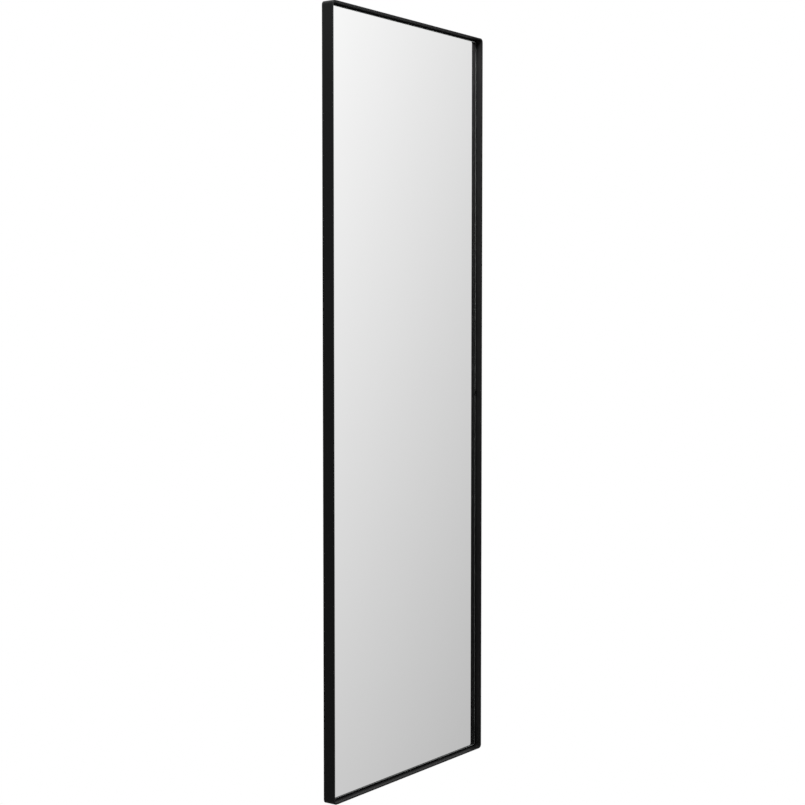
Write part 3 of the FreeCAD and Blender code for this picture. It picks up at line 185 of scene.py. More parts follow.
class Finish(Graph):
    """A material with one principled surface, whose patterns read Object coordinates."""

    def __init__(self, name: str) -> None:
        """Start a material.

        Args:
            name: The material's name.
        """
        self.material = bpy.data.materials.new(name)
        self.material.use_nodes = True
        super().__init__(self.material.node_tree)
        self.output = self.add("OutputMaterial")
        self.surface = self.add("BsdfPrincipled")
        self.feed(self.output, "Surface", self.surface.outputs[0])
        self.place = self.add("TexCoord").outputs["Object"]

    def put(self, key: str, value: object) -> None:
        """Give an input of the surface a socket's output or a plain value."""
        self.feed(self.surface, key, value)

    def mottled(self, pattern: NodeSocket, colour: Colour, factors: Span) -> NodeSocket:
        """Return a colour that a pattern takes from one factor of itself to the other."""
        return self.blend(pattern, *(shade(colour, factor) for factor in factors))

    def stretched(self, scale: Point) -> NodeSocket:
        """Return the object's coordinates scaled along each axis."""
        return self.run("Mapping", {"Vector": self.place, "Scale": scale})

    def noise(
        self, size: float, detail: float = 2.0, rough: float = 0.5, along: Point | None = None
    ) -> NodeSocket:
        """Return a noise from 0 to 1.

        Args:
            size: The width of its features.
            detail: How many finer layers it has.
            rough: How strong the finer layers are.
            along: How much finer it is along each axis, if it isn't even.

        Returns:
            The noise's socket.
        """
        place = self.stretched(along) if along else self.place
        inputs = {"Vector": place, "Scale": 1 / size, "Detail": detail, "Roughness": rough}
        return self.run("TexNoise", inputs)

    def relief(self, height: NodeSocket, depth: float, strength: float = 0.5) -> None:
        """Bump the surface by a height map.

        Args:
            height: The height's socket, from 0 to 1.
            depth: The depth of the relief.
            strength: The share of it that shows.
        """
        inputs = {"Strength": strength, "Distance": depth, "Height": height}
        self.put("Normal", self.run("Bump", inputs))


def shade(colour: Colour, factor: float) -> Colour:
    """Return a colour made lighter or darker by a factor."""
    return tuple(min(1.0, part * factor) for part in colour)


@dataclass(frozen=True)
class Look:
    """What every finish has.

    Attributes:
        name: The material's name.
        colour: Its colour.
        roughness: Its lowest and highest roughness.
        gloss: The reflection at its face, as the specular level.
        patches: The width of its faint patches.
        mottle: The factors of the colour that the patches lie between.
        metal: Whether it is bare metal, as 0 or 1.
        along: How much finer the patches are along each axis, if they aren't even.
    """

    name: str
    colour: Colour
    roughness: Span
    gloss: float = 0.5
    patches: float = 8 * MM
    mottle: Span = (0.88, 1.12)
    metal: float = 0.0
    along: Point | None = None

    def make(self) -> Material:
        """Build the material.

        Returns:
            The new material.
        """
        finish = Finish(self.name)
        finish.put("Specular IOR Level", self.gloss)
        finish.put("Metallic", self.metal)
        self.lay(finish)
        return finish.material

    def lay(self, finish: Finish) -> None:
        """Give the surface its colour, roughness and relief."""
        self.patch(finish)

    def patch(self, finish: Finish) -> NodeSocket:
        """Let the colour and the roughness vary together in faint patches.

        Args:
            finish: The material to fill.

        Returns:
            The patches' socket.
        """
        cloud = finish.noise(self.patches, detail=3, along=self.along)
        finish.put("Base Color", finish.mottled(cloud, self.colour, self.mottle))
        finish.put("Roughness", finish.spread(cloud, *MIDDLE, *self.roughness))
        return cloud


@dataclass(frozen=True)
class PowderCoat(Look):
    """Fine-textured powder coat on steel.

    Attributes:
        grain: The width of its texture.
        relief: The depth of its texture.
        peaks: How high in the texture a paler speck starts and is full.
        specks: How much paler the specks are, as a factor.
        speck_share: How strongly they show.
        marks: The width of the rub marks of handling.
        worn: How far up in their pattern a mark starts and is full.
        scuffs: How much rougher the marks are.
    """

    name: str = "matt_black_coat"
    colour: Colour = (0.012, 0.012, 0.0122)
    roughness: Span = (0.40, 0.50)
    gloss: float = 0.10
    patches: float = 35 * MM
    grain: float = 0.45 * MM
    relief: float = 0.025 * MM
    peaks: Span = (0.62, 0.75)
    specks: float = 1.7
    speck_share: float = 0.35
    marks: float = 9 * MM
    worn: Span = (0.60, 0.72)
    scuffs: float = 0.06

    def lay(self, finish: Finish) -> None:
        """Lay a cloudy coat with pale specks and rub marks.

        Args:
            finish: The material to fill.
        """
        cloud = finish.noise(self.patches, detail=3)
        texture = finish.noise(self.grain, rough=0.6)
        speck = finish.spread(texture, *self.peaks, 0.0, self.speck_share)
        body = finish.mottled(cloud, self.colour, self.mottle)
        finish.put("Base Color", finish.blend(speck, body, shade(self.colour, self.specks)))
        rub = finish.noise(self.marks, detail=5, rough=0.7, along=(0.35, 1, 1))
        scuff = finish.spread(rub, *self.worn, 0.0, self.scuffs)
        even = finish.spread(cloud, *MIDDLE, *self.roughness)
        finish.put("Roughness", finish.maths("ADD", even, scuff))
        finish.relief(texture, self.relief)


@dataclass(frozen=True)
class ZincPlate(Look):
    """Bright zinc plate, with the fine lines that rolling and running leave along X.

    Attributes:
        dull: How dark its patches are, as a factor for each part of the colour.
        lines: How strongly the lines show.
        run: The length of a line.
        fine: How many times narrower than long it is.
        groove: The depth of a line.
    """

    colour: Colour = (0.60, 0.61, 0.63)
    roughness: Span = (0.24, 0.40)
    patches: float = 18 * MM
    metal: float = 1.0
    dull: Colour = (0.8772, 0.86, 0.8084)
    lines: float = 1.0
    run: float = 40 * MM
    fine: float = 160.0
    groove: float = 0.01 * MM

    def lay(self, finish: Finish) -> None:
        """Lay dull patches and dark, rougher lines.

        Args:
            finish: The material to fill.
        """
        cloud = finish.noise(self.patches, detail=4, rough=0.6)
        lines = finish.noise(self.run, detail=3, along=(1, self.fine, self.fine))
        dull = tuple(part * factor for part, factor in zip(self.colour, self.dull))
        body = finish.blend(finish.spread(cloud, 0.35, 0.65, 0.0, 1.0), dull, self.colour)
        dark = finish.spread(lines, *MIDDLE, 0.0, 0.35 * self.lines)
        finish.put("Base Color", finish.blend(dark, body, shade(self.colour, 0.7)))
        finish.put("Roughness", finish.spread(lines, *MIDDLE, *self.roughness))
        finish.relief(lines, self.groove, 0.4 * self.lines)


@dataclass(frozen=True)
class BearingSteel(Look):
    """Polished steel of the balls, under a film of oil."""

    name: str = "bearing_steel"
    colour: Colour = (0.66, 0.66, 0.68)
    roughness: Span = (0.05, 0.14)
    patches: float = 1.5 * MM
    mottle: Span = (1.0, 0.85)
    metal: float = 1.0


@dataclass(frozen=True)
class Silvering(Look):
    """Silvered face of the glass, whose colour is the tint of its reflection."""

    name: str = "silvered_glass"
    colour: Colour = (0.955, 0.955, 0.955)
    roughness: Span = (0.0, 0.0)
    patches: float = 120 * MM
    mottle: Span = (1.0, 0.992)
    metal: float = 1.0

    def lay(self, finish: Finish) -> None:
        """Lay an even mirror with the faintest patches."""
        finish.put("Base Color", finish.mottled(finish.noise(self.patches), self.colour, self.mottle))
        finish.put("Roughness", self.roughness[0])


@dataclass(frozen=True)
class GroundGlass(Look):
    """Ground edge of the glass, with the green that shows through its thickness.

    Attributes:
        relief: The depth of its grinding marks.
    """

    name: str = "ground_glass_edge"
    colour: Colour = (0.400, 0.420, 0.410)
    roughness: Span = (0.45, 0.65)
    patches: float = 0.6 * MM
    mottle: Span = (1.0, 1.3)
    along: Point | None = (1, 4, 1)
    relief: float = 0.02 * MM

    def lay(self, finish: Finish) -> None:
        """Lay the grinding marks."""
        finish.relief(self.patch(finish), self.relief)


@dataclass(frozen=True)
class Hardboard(Look):
    """Brown hardboard with pressed fibres.

    Attributes:
        fray: How rough its surface is, as a multiple of the pressed face's.
        fibre: The width of a fibre.
        gaps: How dark it is between the fibres, as a factor.
        relief: The depth of the pressed face's fibres.
    """

    colour: Colour = (0.19, 0.105, 0.052)
    roughness: Span = (0.55, 0.75)
    patches: float = 60 * MM
    mottle: Span = (0.86, 1.16)
    fray: float = 1.0
    fibre: float = 2.2 * MM
    gaps: float = 0.55
    relief: float = 0.06 * MM

    def lay(self, finish: Finish) -> None:
        """Lay cloudy fibres with dark gaps.

        Args:
            finish: The material to fill.
        """
        fibre = finish.noise(self.fibre, detail=5, rough=0.65, along=(1, 1, 1.6))
        body = finish.mottled(finish.noise(self.patches, detail=3), self.colour, self.mottle)
        dark = finish.spread(fibre, 0.5, 0.7, 0.0, 0.6)
        finish.put("Base Color", finish.blend(dark, body, shade(self.colour, self.gaps)))
        finish.put("Roughness", finish.spread(fibre, *MIDDLE, *self.roughness))
        finish.relief(fibre, self.relief * self.fray)


@dataclass(frozen=True)
class Moulded(Look):
    """Moulded plastic or rubber with a fine matt grain.

    Attributes:
        grain: The width of its grain.
        relief: The depth of its grain.
    """

    grain: float = 0.5 * MM
    relief: float = 0.015 * MM

    def lay(self, finish: Finish) -> None:
        """Lay a cloudy colour and the grain."""
        self.patch(finish)
        finish.relief(finish.noise(self.grain), self.relief)


class Palette:
    """Every finish of the part, made once."""

    def __init__(self) -> None:
        """Make every material."""
        self.powder_coat = PowderCoat().make()
        self.coat_edge = PowderCoat("matt_black_coat_edge", (0.020, 0.020, 0.0203), gloss=0.14).make()
        self.satin_coat = PowderCoat(
            "satin_black_coat", (0.017, 0.017, 0.0175), (0.30, 0.40), gloss=0.45
        ).make()
        self.satin_edge = PowderCoat(
            "satin_black_coat_edge", (0.034, 0.034, 0.035), (0.26, 0.36), gloss=0.60
        ).make()
        self.zinc = ZincPlate("zinc_plate", lines=0.25).make()
        self.rolled_zinc = ZincPlate("rolled_zinc_plate").make()
        self.balls = BearingSteel().make()
        self.silvering = Silvering().make()
        self.ground_glass = GroundGlass().make()
        self.board = Hardboard("hardboard").make()
        self.board_edge = Hardboard("hardboard_sawn_edge", (0.13, 0.07, 0.034), fray=2.5).make()
        # The board's black front is its paint and also painted shade for the dark gap round the glass.
        self.board_front = Hardboard("hardboard_front_paint", (0.012, 0.012, 0.012)).make()
        self.back_paint = Moulded(
            "mirror_back_paint", (0.20, 0.21, 0.21), (0.49, 0.61), grain=0.8 * MM
        ).make()
        self.tape = Moulded("foam_tape", (0.72, 0.72, 0.70), (0.79, 0.91), grain=0.35 * MM).make()
        self.black_plastic = Moulded("black_plastic", (0.018, 0.018, 0.019), (0.42, 0.54)).make()
        self.dull_plastic = Moulded(
            "dull_black_plastic", (0.004, 0.004, 0.004), (0.69, 0.81), gloss=0.05
        ).make()
        self.white_plastic = Moulded("white_plastic", (0.74, 0.74, 0.71), (0.32, 0.44)).make()
        self.rubber = Moulded("black_rubber", (0.017, 0.017, 0.017), (0.66, 0.78), grain=0.8 * MM).make()

    def by_slot(self, slot: Slot) -> Material:
        """Return the finish of one of the record's slots."""
        return getattr(self, slot.name.lower())


# --- Modelling by hand ---
def select_only(obj: Object) -> None:
    """Deselect everything but one object and make it active.

    Args:
        obj: The object.
    """
    bpy.ops.object.select_all(action="DESELECT")
    obj.select_set(True)
    bpy.context.view_layer.objects.active = obj


@contextmanager
def editing(obj: Object) -> Iterator[None]:
    """Open an object in edit mode with nothing selected, and close it again.

    Args:
        obj: The object.
    """
    select_only(obj)
    bpy.ops.object.mode_set(mode="EDIT")
    bpy.ops.mesh.select_all(action="DESELECT")
    yield
    bpy.ops.object.mode_set(mode="OBJECT")


def pick_faces(obj: Object, test: Callable[[Vector, Vector], bool]) -> None:
    """Select the faces that pass a test, in edit mode.

    Args:
        obj: The object in edit mode.
        test: Takes a face's centre and normal.
    """
    bpy.ops.mesh.select_mode(type="FACE")
    mesh = bmesh.from_edit_mesh(obj.data)
    for face in mesh.faces:
        face.select_set(test(face.calc_center_median(), face.normal))
    bmesh.update_edit_mesh(obj.data)


def pick_edges(obj: Object, test: Callable[[Vector, Vector], bool]) -> None:
    """Select the edges that pass a test, in edit mode.

    Args:
        obj: The object in edit mode.
        test: Takes an edge's two ends.
    """
    bpy.ops.mesh.select_mode(type="EDGE")
    mesh = bmesh.from_edit_mesh(obj.data)
    for edge in mesh.edges:
        edge.select_set(test(edge.verts[0].co, edge.verts[1].co))
    bmesh.update_edit_mesh(obj.data)


def bevel_rim(width: float, segments: int) -> None:
    """Bevel the rim of the selected faces, in edit mode."""
    bpy.ops.mesh.region_to_loop()
    bpy.ops.mesh.bevel(offset=width, segments=segments, affect="EDGES", clamp_overlap=False)


def add_block(name: str, low: Vector, high: Vector) -> Object:
    """Add a cube between two corners, with its place in its mesh.

    Args:
        name: The piece's name.
        low: The lowest corner.
        high: The highest corner.

    Returns:
        The new object.
    """
    bpy.ops.object.select_all(action="DESELECT")
    bpy.ops.mesh.primitive_cube_add(size=1, location=(low + high) / 2)
    obj = bpy.context.object
    obj.name = name
    obj.scale = high - low
    bpy.ops.object.transform_apply(location=True, rotation=True, scale=True)
    return obj


def add_rod(name: str, radius: float, length: float, sides: int) -> Object:
    """Add a cylinder that starts at the origin and runs along +Y.

    Args:
        name: The piece's name.
        radius: Its radius.
        length: Its length.
        sides: How many flat sides it has.

    Returns:
        The new object.
    """
    bpy.ops.object.select_all(action="DESELECT")
    bpy.ops.mesh.primitive_cylinder_add(
        vertices=sides, radius=radius, depth=length,
        location=(0, length / 2, 0), rotation=(math.pi / 2, 0, 0),
    )
    obj = bpy.context.object
    obj.name = name
    bpy.ops.object.transform_apply(location=True, rotation=True, scale=True)
    return obj


def finish_with(obj: Object, kind: str, **settings: object) -> None:
    """Add a modifier, set it up and apply it.

    Args:
        obj: The object.
        kind: The modifier's type.
        settings: Its properties, by name.
    """
    modifier = obj.modifiers.new(kind.lower(), kind)
    for key, value in settings.items():
        setattr(modifier, key, value)
    select_only(obj)
    bpy.ops.object.modifier_apply(modifier=modifier.name)


def cut_away(obj: Object, cutter: Object) -> None:
    """Cut one object's shape out of another, and drop the cutter."""
    finish_with(obj, "BOOLEAN", operation="DIFFERENCE", solver="EXACT", object=cutter)
    bpy.data.objects.remove(cutter)


def repeat(master: Object, places: list[Matrix]) -> Object:
    """Copy a piece to several places and join the copies under its name.

    Args:
        master: The piece, which is used up.
        places: Where each copy goes.

    Returns:
        The joined object.
    """
    name = master.name
    copies = []
    for place in places:
        copy = bpy.data.objects.new(name, master.data.copy())
        copy.data.transform(place)
        bpy.context.scene.collection.objects.link(copy)
        copies.append(copy)
    bpy.data.objects.remove(master)
    select_only(copies[0])
    for copy in copies:
        copy.select_set(True)
    bpy.ops.object.join()
    copies[0].name = name
    return copies[0]


def solids(node: str) -> list[tuple[Vector, Vector]]:
    """Find the separate solids of a CAD node.

    Args:
        node: The CAD node.

    Returns:
        The lowest and highest corner of each solid, in order of place.
    """
    mesh = bmesh.new()
    mesh.from_mesh(frame["nodes"][node].data)
    bmesh.ops.remove_doubles(mesh, verts=mesh.verts, dist=WELD)
    left, boxes = set(mesh.verts), []
    while left:
        front, island = [left.pop()], []
        while front:
            vertex = front.pop()
            island.append(vertex.co.copy())
            near = {edge.other_vert(vertex) for edge in vertex.link_edges} & left
            left -= near
            front.extend(near)
        boxes.append((Vector(map(min, *island)), Vector(map(max, *island))))
    mesh.free()
    return sorted(boxes, key=lambda box: [round(part, 5) for part in box[0]])


def round_along_y(obj: Object, radius: float, segments: int) -> None:
    """Round the four edges of a block that run along Y.

    Args:
        obj: The block.
        radius: The radius of the rounding.
        segments: How many faces it has.
    """
    with editing(obj):
        pick_edges(obj, lambda a, b: abs(a.y - b.y) > MM and abs(a.x - b.x) < HAIR)
        bpy.ops.mesh.bevel(offset=radius, segments=segments, affect="EDGES", clamp_overlap=False)


def smooth(obj: Object, angle: float = 35.0) -> None:
    """Shade an object smooth across edges that turn less than an angle in degrees."""
    select_only(obj)
    bpy.ops.object.shade_smooth_by_angle(angle=math.radians(angle), keep_sharp_edges=False)


def even_out(obj: Object) -> None:
    """Shade an object smooth over its rounded edges, with its large flat faces kept flat."""
    smooth(obj, SHARP)
    finish_with(obj, "WEIGHTED_NORMAL", keep_sharp=True, weight=100, thresh=0.01)


def dress(obj: Object, *materials: Material) -> None:
    """Give an object its material slots.

    Args:
        obj: The object.
        materials: The finish of each slot, in order.
    """
    obj.data.materials.clear()
    for material in materials:
        obj.data.materials.append(material)


def slot_of(node: str) -> Slot:
    """Return the slot that the record gives a CAD node."""
    parts = frame["record"]["subparts"]
    return Slot(next(part["material_slot"] for part in parts if part["node"] == node))


def ease_node(node: str, name: str, ease: float, finish: Material, edge: Material | None = None) -> Object:
    """Stand a copy of a CAD node in its place, merged and with its sharp edges rounded.

    Args:
        node: The CAD node.
        name: The new piece's name.
        ease: The width of the rounding.
        finish: The finish of its faces.
        edge: The finish of its rounded edges, if it is another one.

    Returns:
        The new object.
    """
    obj = bpy.data.objects.new(name, frame["nodes"][node].data.copy())
    bpy.context.scene.collection.objects.link(obj)
    select_only(obj)
    bpy.ops.mesh.customdata_custom_splitnormals_clear()
    with editing(obj):
        bpy.ops.mesh.select_all(action="SELECT")
        bpy.ops.mesh.remove_doubles(threshold=WELD)
        bpy.ops.mesh.dissolve_limited(angle_limit=math.radians(FLAT))
    dress(obj, *filter(None, (finish, edge)))
    finish_with(
        obj, "BEVEL", width=ease, segments=2, limit_method="ANGLE", angle_limit=math.radians(SHARP),
        miter_outer="MITER_ARC", material=1 if edge else -1,
    )
    even_out(obj)
    fit(obj, node)
    return obj


def fit(obj: Object, node: str, stands_for: bool = True) -> None:
    """Make a new piece ride as a CAD node does.

    Args:
        obj: The finished piece.
        node: The CAD node that it stands for or belongs to.
        stands_for: Whether it takes the node's place.
    """
    bodies = frame["record"]["behaviour"]["bodies"]
    body = next(name for name, nodes in bodies.items() if node in nodes)
    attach(obj, body)
    if stands_for:
        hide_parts(node)
    LOG.info("%s: %d faces on %s", obj.name, len(obj.data.polygons), body)


@dataclass(frozen=True)
class SubAssembly:
    """What every group of pieces has.

    Attributes:
        palette: The part's finishes.
    """

    palette: Palette


# --- Mirror panel ---
@dataclass(frozen=True)
class MirrorPanel(SubAssembly):
    """Steel band frame with its silvered glass.

    Attributes:
        band_wall: The thickness of the steel band.
        corner: The radius of the frame's outer corners.
        edge_round: The radius of the band's own edges.
        glass_corner: The radius of the glass's corners.
        arris: The width of the ground arris round the glass's front.
        margin: The width of the ground margin inside the arris.
        tape_clearance: How far the glass's back stays off its tape.
        strips: How many strips the mirror's face is divided into.
        ease: The rounding of the cut steel and the board.
        board_spread: How much further than its solid the board reaches towards the band, so that it
            closes the gap to the light behind.
        paint_reach: The least part of its normal that a face of the board, black with paint and painted
            shade, has forwards.
        bead_width: The width of a weld bead.
        bead_height: Its height over the steel.
        bead_step: The distance between its ripples.
        bead_waist: Its width between two ripples, as a share of its width.
        bead_end: The rounding of its ends, as a share of its radius.
        clip_ease: The rounding of the side clips.
        lip_reach: How much further than its solid a side clip's lip reaches, to cover the margin.
    """

    band_wall: float = 2 * MM
    corner: float = 5 * MM
    edge_round: float = 0.35 * MM
    glass_corner: float = 1.5 * MM
    arris: float = 0.8 * MM
    margin: float = 0.5 * MM
    tape_clearance: float = 0.02 * MM
    strips: int = 8
    ease: float = 0.3 * MM
    board_spread: float = 0.45 * MM
    paint_reach: float = 0.5
    bead_width: float = 3 * MM
    bead_height: float = 0.7 * MM
    bead_step: float = 1.1 * MM
    bead_waist: float = 0.78
    bead_end: float = 0.7
    clip_ease: float = 0.35 * MM
    lip_reach: float = 0.4 * MM

    def build(self) -> None:
        """Model and dress the panel's visible pieces."""
        self.frame_band()
        self.glass()
        self.welded_steel()
        self.weld_beads()
        self.board()
        self.side_clips()

    def frame_band(self) -> None:
        """Model the band: a block with round corners, hollowed to its wall, with eased edges."""
        low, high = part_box("mirror_frame")
        band = add_block("frame_band", low, high)
        round_along_y(band, self.corner, segments=10)
        with editing(band):
            pick_faces(band, lambda centre, normal: abs(normal.y) > FACING)
            bpy.ops.mesh.delete(type="ONLY_FACE")
        finish_with(band, "SOLIDIFY", thickness=self.band_wall, offset=-1, use_even_offset=True)
        finish_with(
            band, "BEVEL", width=self.edge_round, segments=3,
            limit_method="ANGLE", angle_limit=math.radians(SHARP),
        )
        even_out(band)
        dress(band, self.palette.powder_coat)
        fit(band, "mirror_frame")

    def glass(self) -> None:
        """Model the mirror: a silvered face inside a ground margin and arris, painted behind."""
        low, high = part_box("mirror_glass")
        pane = add_block("mirror_pane", low, high - Vector((0, self.tape_clearance, 0)))
        round_along_y(pane, self.glass_corner, segments=4)
        with editing(pane):
            pick_faces(pane, lambda centre, normal: normal.y < -FACING)
            bevel_rim(self.arris, segments=1)
            pick_faces(pane, lambda centre, normal: normal.y < -FACING)
            bpy.ops.mesh.inset(thickness=self.margin)
            for strip in range(1, self.strips):
                height = low.z + (high.z - low.z) * strip / self.strips
                bpy.ops.mesh.select_all(action="SELECT")
                bpy.ops.mesh.bisect(plane_co=(0, 0, height), plane_no=(0, 0, 1))
        dress(pane, self.palette.ground_glass, self.palette.silvering, self.palette.back_paint)
        silvered, painted = 1, 2
        rim = self.arris + self.margin
        for face in pane.data.polygons:
            inside = min(face.center.x - low.x, high.x - face.center.x) > rim
            inside = inside and min(face.center.z - low.z, high.z - face.center.z) > rim
            if abs(face.normal.y) > FACING and inside:
                face.material_index = silvered if face.normal.y < 0 else painted
        fit(pane, "mirror_glass")

    def board(self) -> None:
        """Ease the hardboard and press it to the band; its black front is paint and painted shade."""
        low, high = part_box("backing_board")
        palette = self.palette
        board = ease_node("backing_board", "board_panel", self.ease, palette.board, palette.board_edge)
        for axis, edge, way in ((0, low.x, -1), (0, high.x, 1), (2, low.z, -1), (2, high.z, 1)):
            shift = Vector()
            shift[axis] = way * self.board_spread
            with editing(board):
                pick_faces(board, lambda centre, normal: abs(centre[axis] - edge) < self.ease)
                bpy.ops.transform.translate(value=shift)
        painted = len(board.data.materials)
        # Its black front is paint and painted shade, which darkens the gap round the glass.
        board.data.materials.append(palette.board_front)
        for face in board.data.polygons:
            if face.normal.y < -self.paint_reach:
                face.material_index = painted

    def side_clips(self) -> None:
        """Ease the side clips and draw their lips out over the glass's ground margin."""
        node, finish = "glass_side_clips", self.palette.dull_plastic
        clips = ease_node(node, "moulded_glass_clips", self.clip_ease, finish)
        for bottom, top in solids(node):
            edge, way = (top.x, 1) if top.x < 0 else (bottom.x, -1)
            with editing(clips):
                pick_faces(clips, lambda centre, normal: abs(centre.x - edge) < self.clip_ease)
                bpy.ops.transform.translate(value=(way * self.lip_reach, 0, 0))

    def welded_steel(self) -> None:
        """Ease the lugs and the cross rails that are welded inside the band."""
        for node, name in (
            ("frame_lugs", "welded_lugs"),
            ("upper_cross_rail", "upper_flat_rail"),
            ("lower_cross_rail", "lower_flat_rail"),
        ):
            ease_node(node, name, self.ease, self.palette.powder_coat, self.palette.coat_edge)

    def weld_beads(self) -> None:
        """Model one rippled bead and lay a copy along each joint of a lug or rail with the band."""
        low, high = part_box("mirror_frame")
        wall_low = low + Vector((1, 0, 1)) * self.band_wall
        wall_high = high - Vector((1, 0, 1)) * self.band_wall
        lugs = solids("frame_lugs")
        length = max(max(top.x - bottom.x, top.z - bottom.z) for bottom, top in lugs) - 2 * self.bead_step
        places = []
        for bottom, top in (*lugs, *solids("upper_cross_rail"), *solids("lower_cross_rail")):
            middle = (bottom + top) / 2
            for x, edge in ((wall_low.x, bottom.x), (wall_high.x, top.x)):
                if abs(edge - x) < MM:
                    places.append(Matrix.Translation((x, top.y, middle.z)))
            for z, edge in ((wall_low.z, bottom.z), (wall_high.z, top.z)):
                if abs(edge - z) < MM:
                    place = Matrix.Translation((middle.x, top.y, z))
                    places.append(place @ Matrix.Rotation(math.pi / 2, 4, "Y"))
        beads = repeat(self.bead(length), places)
        smooth(beads, angle=60)
        dress(beads, self.palette.coat_edge)
        fit(beads, "mirror_frame", stands_for=False)

    def bead(self, length: float) -> Object:
        """Model a weld bead along Z with its root at the origin.

        Args:
            length: The bead's length.

        Returns:
            The new object.
        """
        radius = self.bead_width / 2
        bead = add_rod("weld_beads", radius, length, sides=12)
        bead.data.transform(Matrix.Rotation(math.pi / 2, 4, "X") @ Matrix.Translation((0, -length / 2, 0)))
        with editing(bead):
            pick_faces(bead, lambda centre, normal: abs(normal.z) > FACING)
            bevel_rim(radius * self.bead_end, segments=3)
            pick_edges(bead, lambda a, b: abs(a.z - b.z) > length / 2)
            bpy.ops.mesh.subdivide(number_cuts=2 * round(length / self.bead_step) - 1)
        ends = length / 2 - radius
        rings = sorted({round(vertex.co.z, 6) for vertex in bead.data.vertices if abs(vertex.co.z) < ends})
        drawn = set(rings[1::2])
        with editing(bead):
            pick_edges(bead, lambda a, b: round(a.z, 6) in drawn and abs(a.z - b.z) < HAIR)
            waist, flat = self.bead_waist, self.bead_height / radius
            bpy.ops.transform.resize(value=(waist, waist, 1), center_override=(0, 0, 0))
            bpy.ops.mesh.select_all(action="SELECT")
            bpy.ops.transform.resize(value=(1, flat, 1), center_override=(0, 0, 0))
        return bead


# --- Screws ---
@dataclass(frozen=True)
class Screw:
    """One kind of screw, with its head towards +Y.

    Attributes:
        node: The CAD node with every screw of the kind.
        name: The new piece's name.
        head: The height of the head.
        shank: The diameter of the shank.
        dome: How far the head's rim is rounded.
        drive: The recess that it is turned by.
        drive_width: The recess's width.
        drive_depth: Its depth.
        blade: The width of a cross recess's arms.
        recess_floor: The size of a cross recess's floor, as a share of its mouth's.
        overcut: How far the recess's cutter stands over the head.
        tip: The length of the shank's taper.
        point: The width at its end, as a share of the shank's.
        turn: How much further each screw is turned than the one before, in radians.
    """

    node: str
    name: str
    head: float
    shank: float
    dome: float
    drive: Drive
    drive_width: float
    drive_depth: float
    blade: float = 0.75 * MM
    recess_floor: float = 0.55
    overcut: float = 0.2 * MM
    tip: float = 0.8 * MM
    point: float = 0.72
    turn: float = 2.4

    def build(self, finish: Material) -> None:
        """Model one screw and set a copy, turned as tightening left it, in every place.

        Args:
            finish: The screws' finish.
        """
        boxes = solids(self.node)
        low, high = boxes[0]
        screw = self.turned((high.x - low.x) / 2, high.y - low.y - self.head)
        for cutter in self.cutters():
            cut_away(screw, cutter)
        places = []
        for number, (low, high) in enumerate(boxes):
            seat = Vector(((low.x + high.x) / 2, high.y - self.head, (low.z + high.z) / 2))
            places.append(Matrix.Translation(seat) @ Matrix.Rotation(number * self.turn, 4, "Y"))
        screws = repeat(screw, places)
        smooth(screws)
        dress(screws, finish)
        fit(screws, self.node)

    def turned(self, radius: float, length: float) -> Object:
        """Model the turned blank: a domed head on a tapered shank.

        Args:
            radius: The head's radius.
            length: The shank's length.

        Returns:
            The new object.
        """
        screw = add_rod(self.name, radius, self.head, sides=40)
        with editing(screw):
            pick_faces(screw, lambda centre, normal: normal.y > FACING)
            bevel_rim(self.dome, segments=6)
            pick_faces(screw, lambda centre, normal: normal.y < -FACING)
            bpy.ops.mesh.inset(thickness=radius - self.shank / 2)
            for run, share in ((length - self.tip, 1.0), (self.tip, self.point)):
                bpy.ops.mesh.extrude_region_move(TRANSFORM_OT_translate={"value": (0, -run, 0)})
                bpy.ops.transform.resize(value=(share, 1, share))
        return screw

    def cutters(self) -> list[Object]:
        """Model what the drive recess is cut with.

        Returns:
            The cutters.
        """
        floor, over = self.head - self.drive_depth, self.head + self.overcut
        if self.drive is Drive.HEX:
            length = self.drive_depth + self.overcut
            key = add_rod("hexagon_cutter", self.drive_width / math.sqrt(3), length, sides=6)
            key.data.transform(Matrix.Translation((0, floor, 0)))
            return [key]
        arms = []
        for long_x, long_z in ((self.drive_width, self.blade), (self.blade, self.drive_width)):
            half = Vector((long_x / 2, 0, long_z / 2))
            arm = add_block("cross_cutter", Vector((0, floor, 0)) - half, Vector((0, over, 0)) + half)
            with editing(arm):
                pick_faces(arm, lambda centre, normal: normal.y < -FACING)
                size = self.recess_floor
                bpy.ops.transform.resize(value=(size, 1, size), center_override=(0, floor, 0))
            arms.append(arm)
        return arms


@dataclass(frozen=True)
class Screws(SubAssembly):
    """Every screw of the panel.

    Attributes:
        kinds: The two kinds of screw.
    """

    kinds: tuple[Screw, ...] = (
        Screw("board_screws", "lug_screws", 2 * MM, 2.9 * MM, 1.2 * MM, Drive.CROSS, 3.2 * MM, 1.3 * MM),
        Screw("bracket_screws", "bracket_bolts", 2.8 * MM, 5 * MM, 2.0 * MM, Drive.HEX, 3 * MM, 2.2 * MM),
    )

    def build(self) -> None:
        """Model and dress the screws."""
        for kind in self.kinds:
            kind.build(self.palette.zinc)


# --- Hardware behind the panel ---
@dataclass(frozen=True)
class FoldedSteel(SubAssembly):
    """Coated plates of the swivel, the carriage and the cabinet side.

    Attributes:
        ease: The rounding of their cut edges.
        plates: Each plate's CAD node and its new name.
    """

    ease: float = 0.35 * MM
    plates: tuple[tuple[str, str], ...] = (
        ("mounting_plate", "cabinet_plate"),
        ("carriage_plate", "carriage_folded_plate"),
        ("swivel_bracket", "swivel_folded_bracket"),
    )

    def build(self) -> None:
        """Ease and dress the plates."""
        for node, name in self.plates:
            ease_node(node, name, self.ease, self.palette.satin_coat, self.palette.satin_edge)


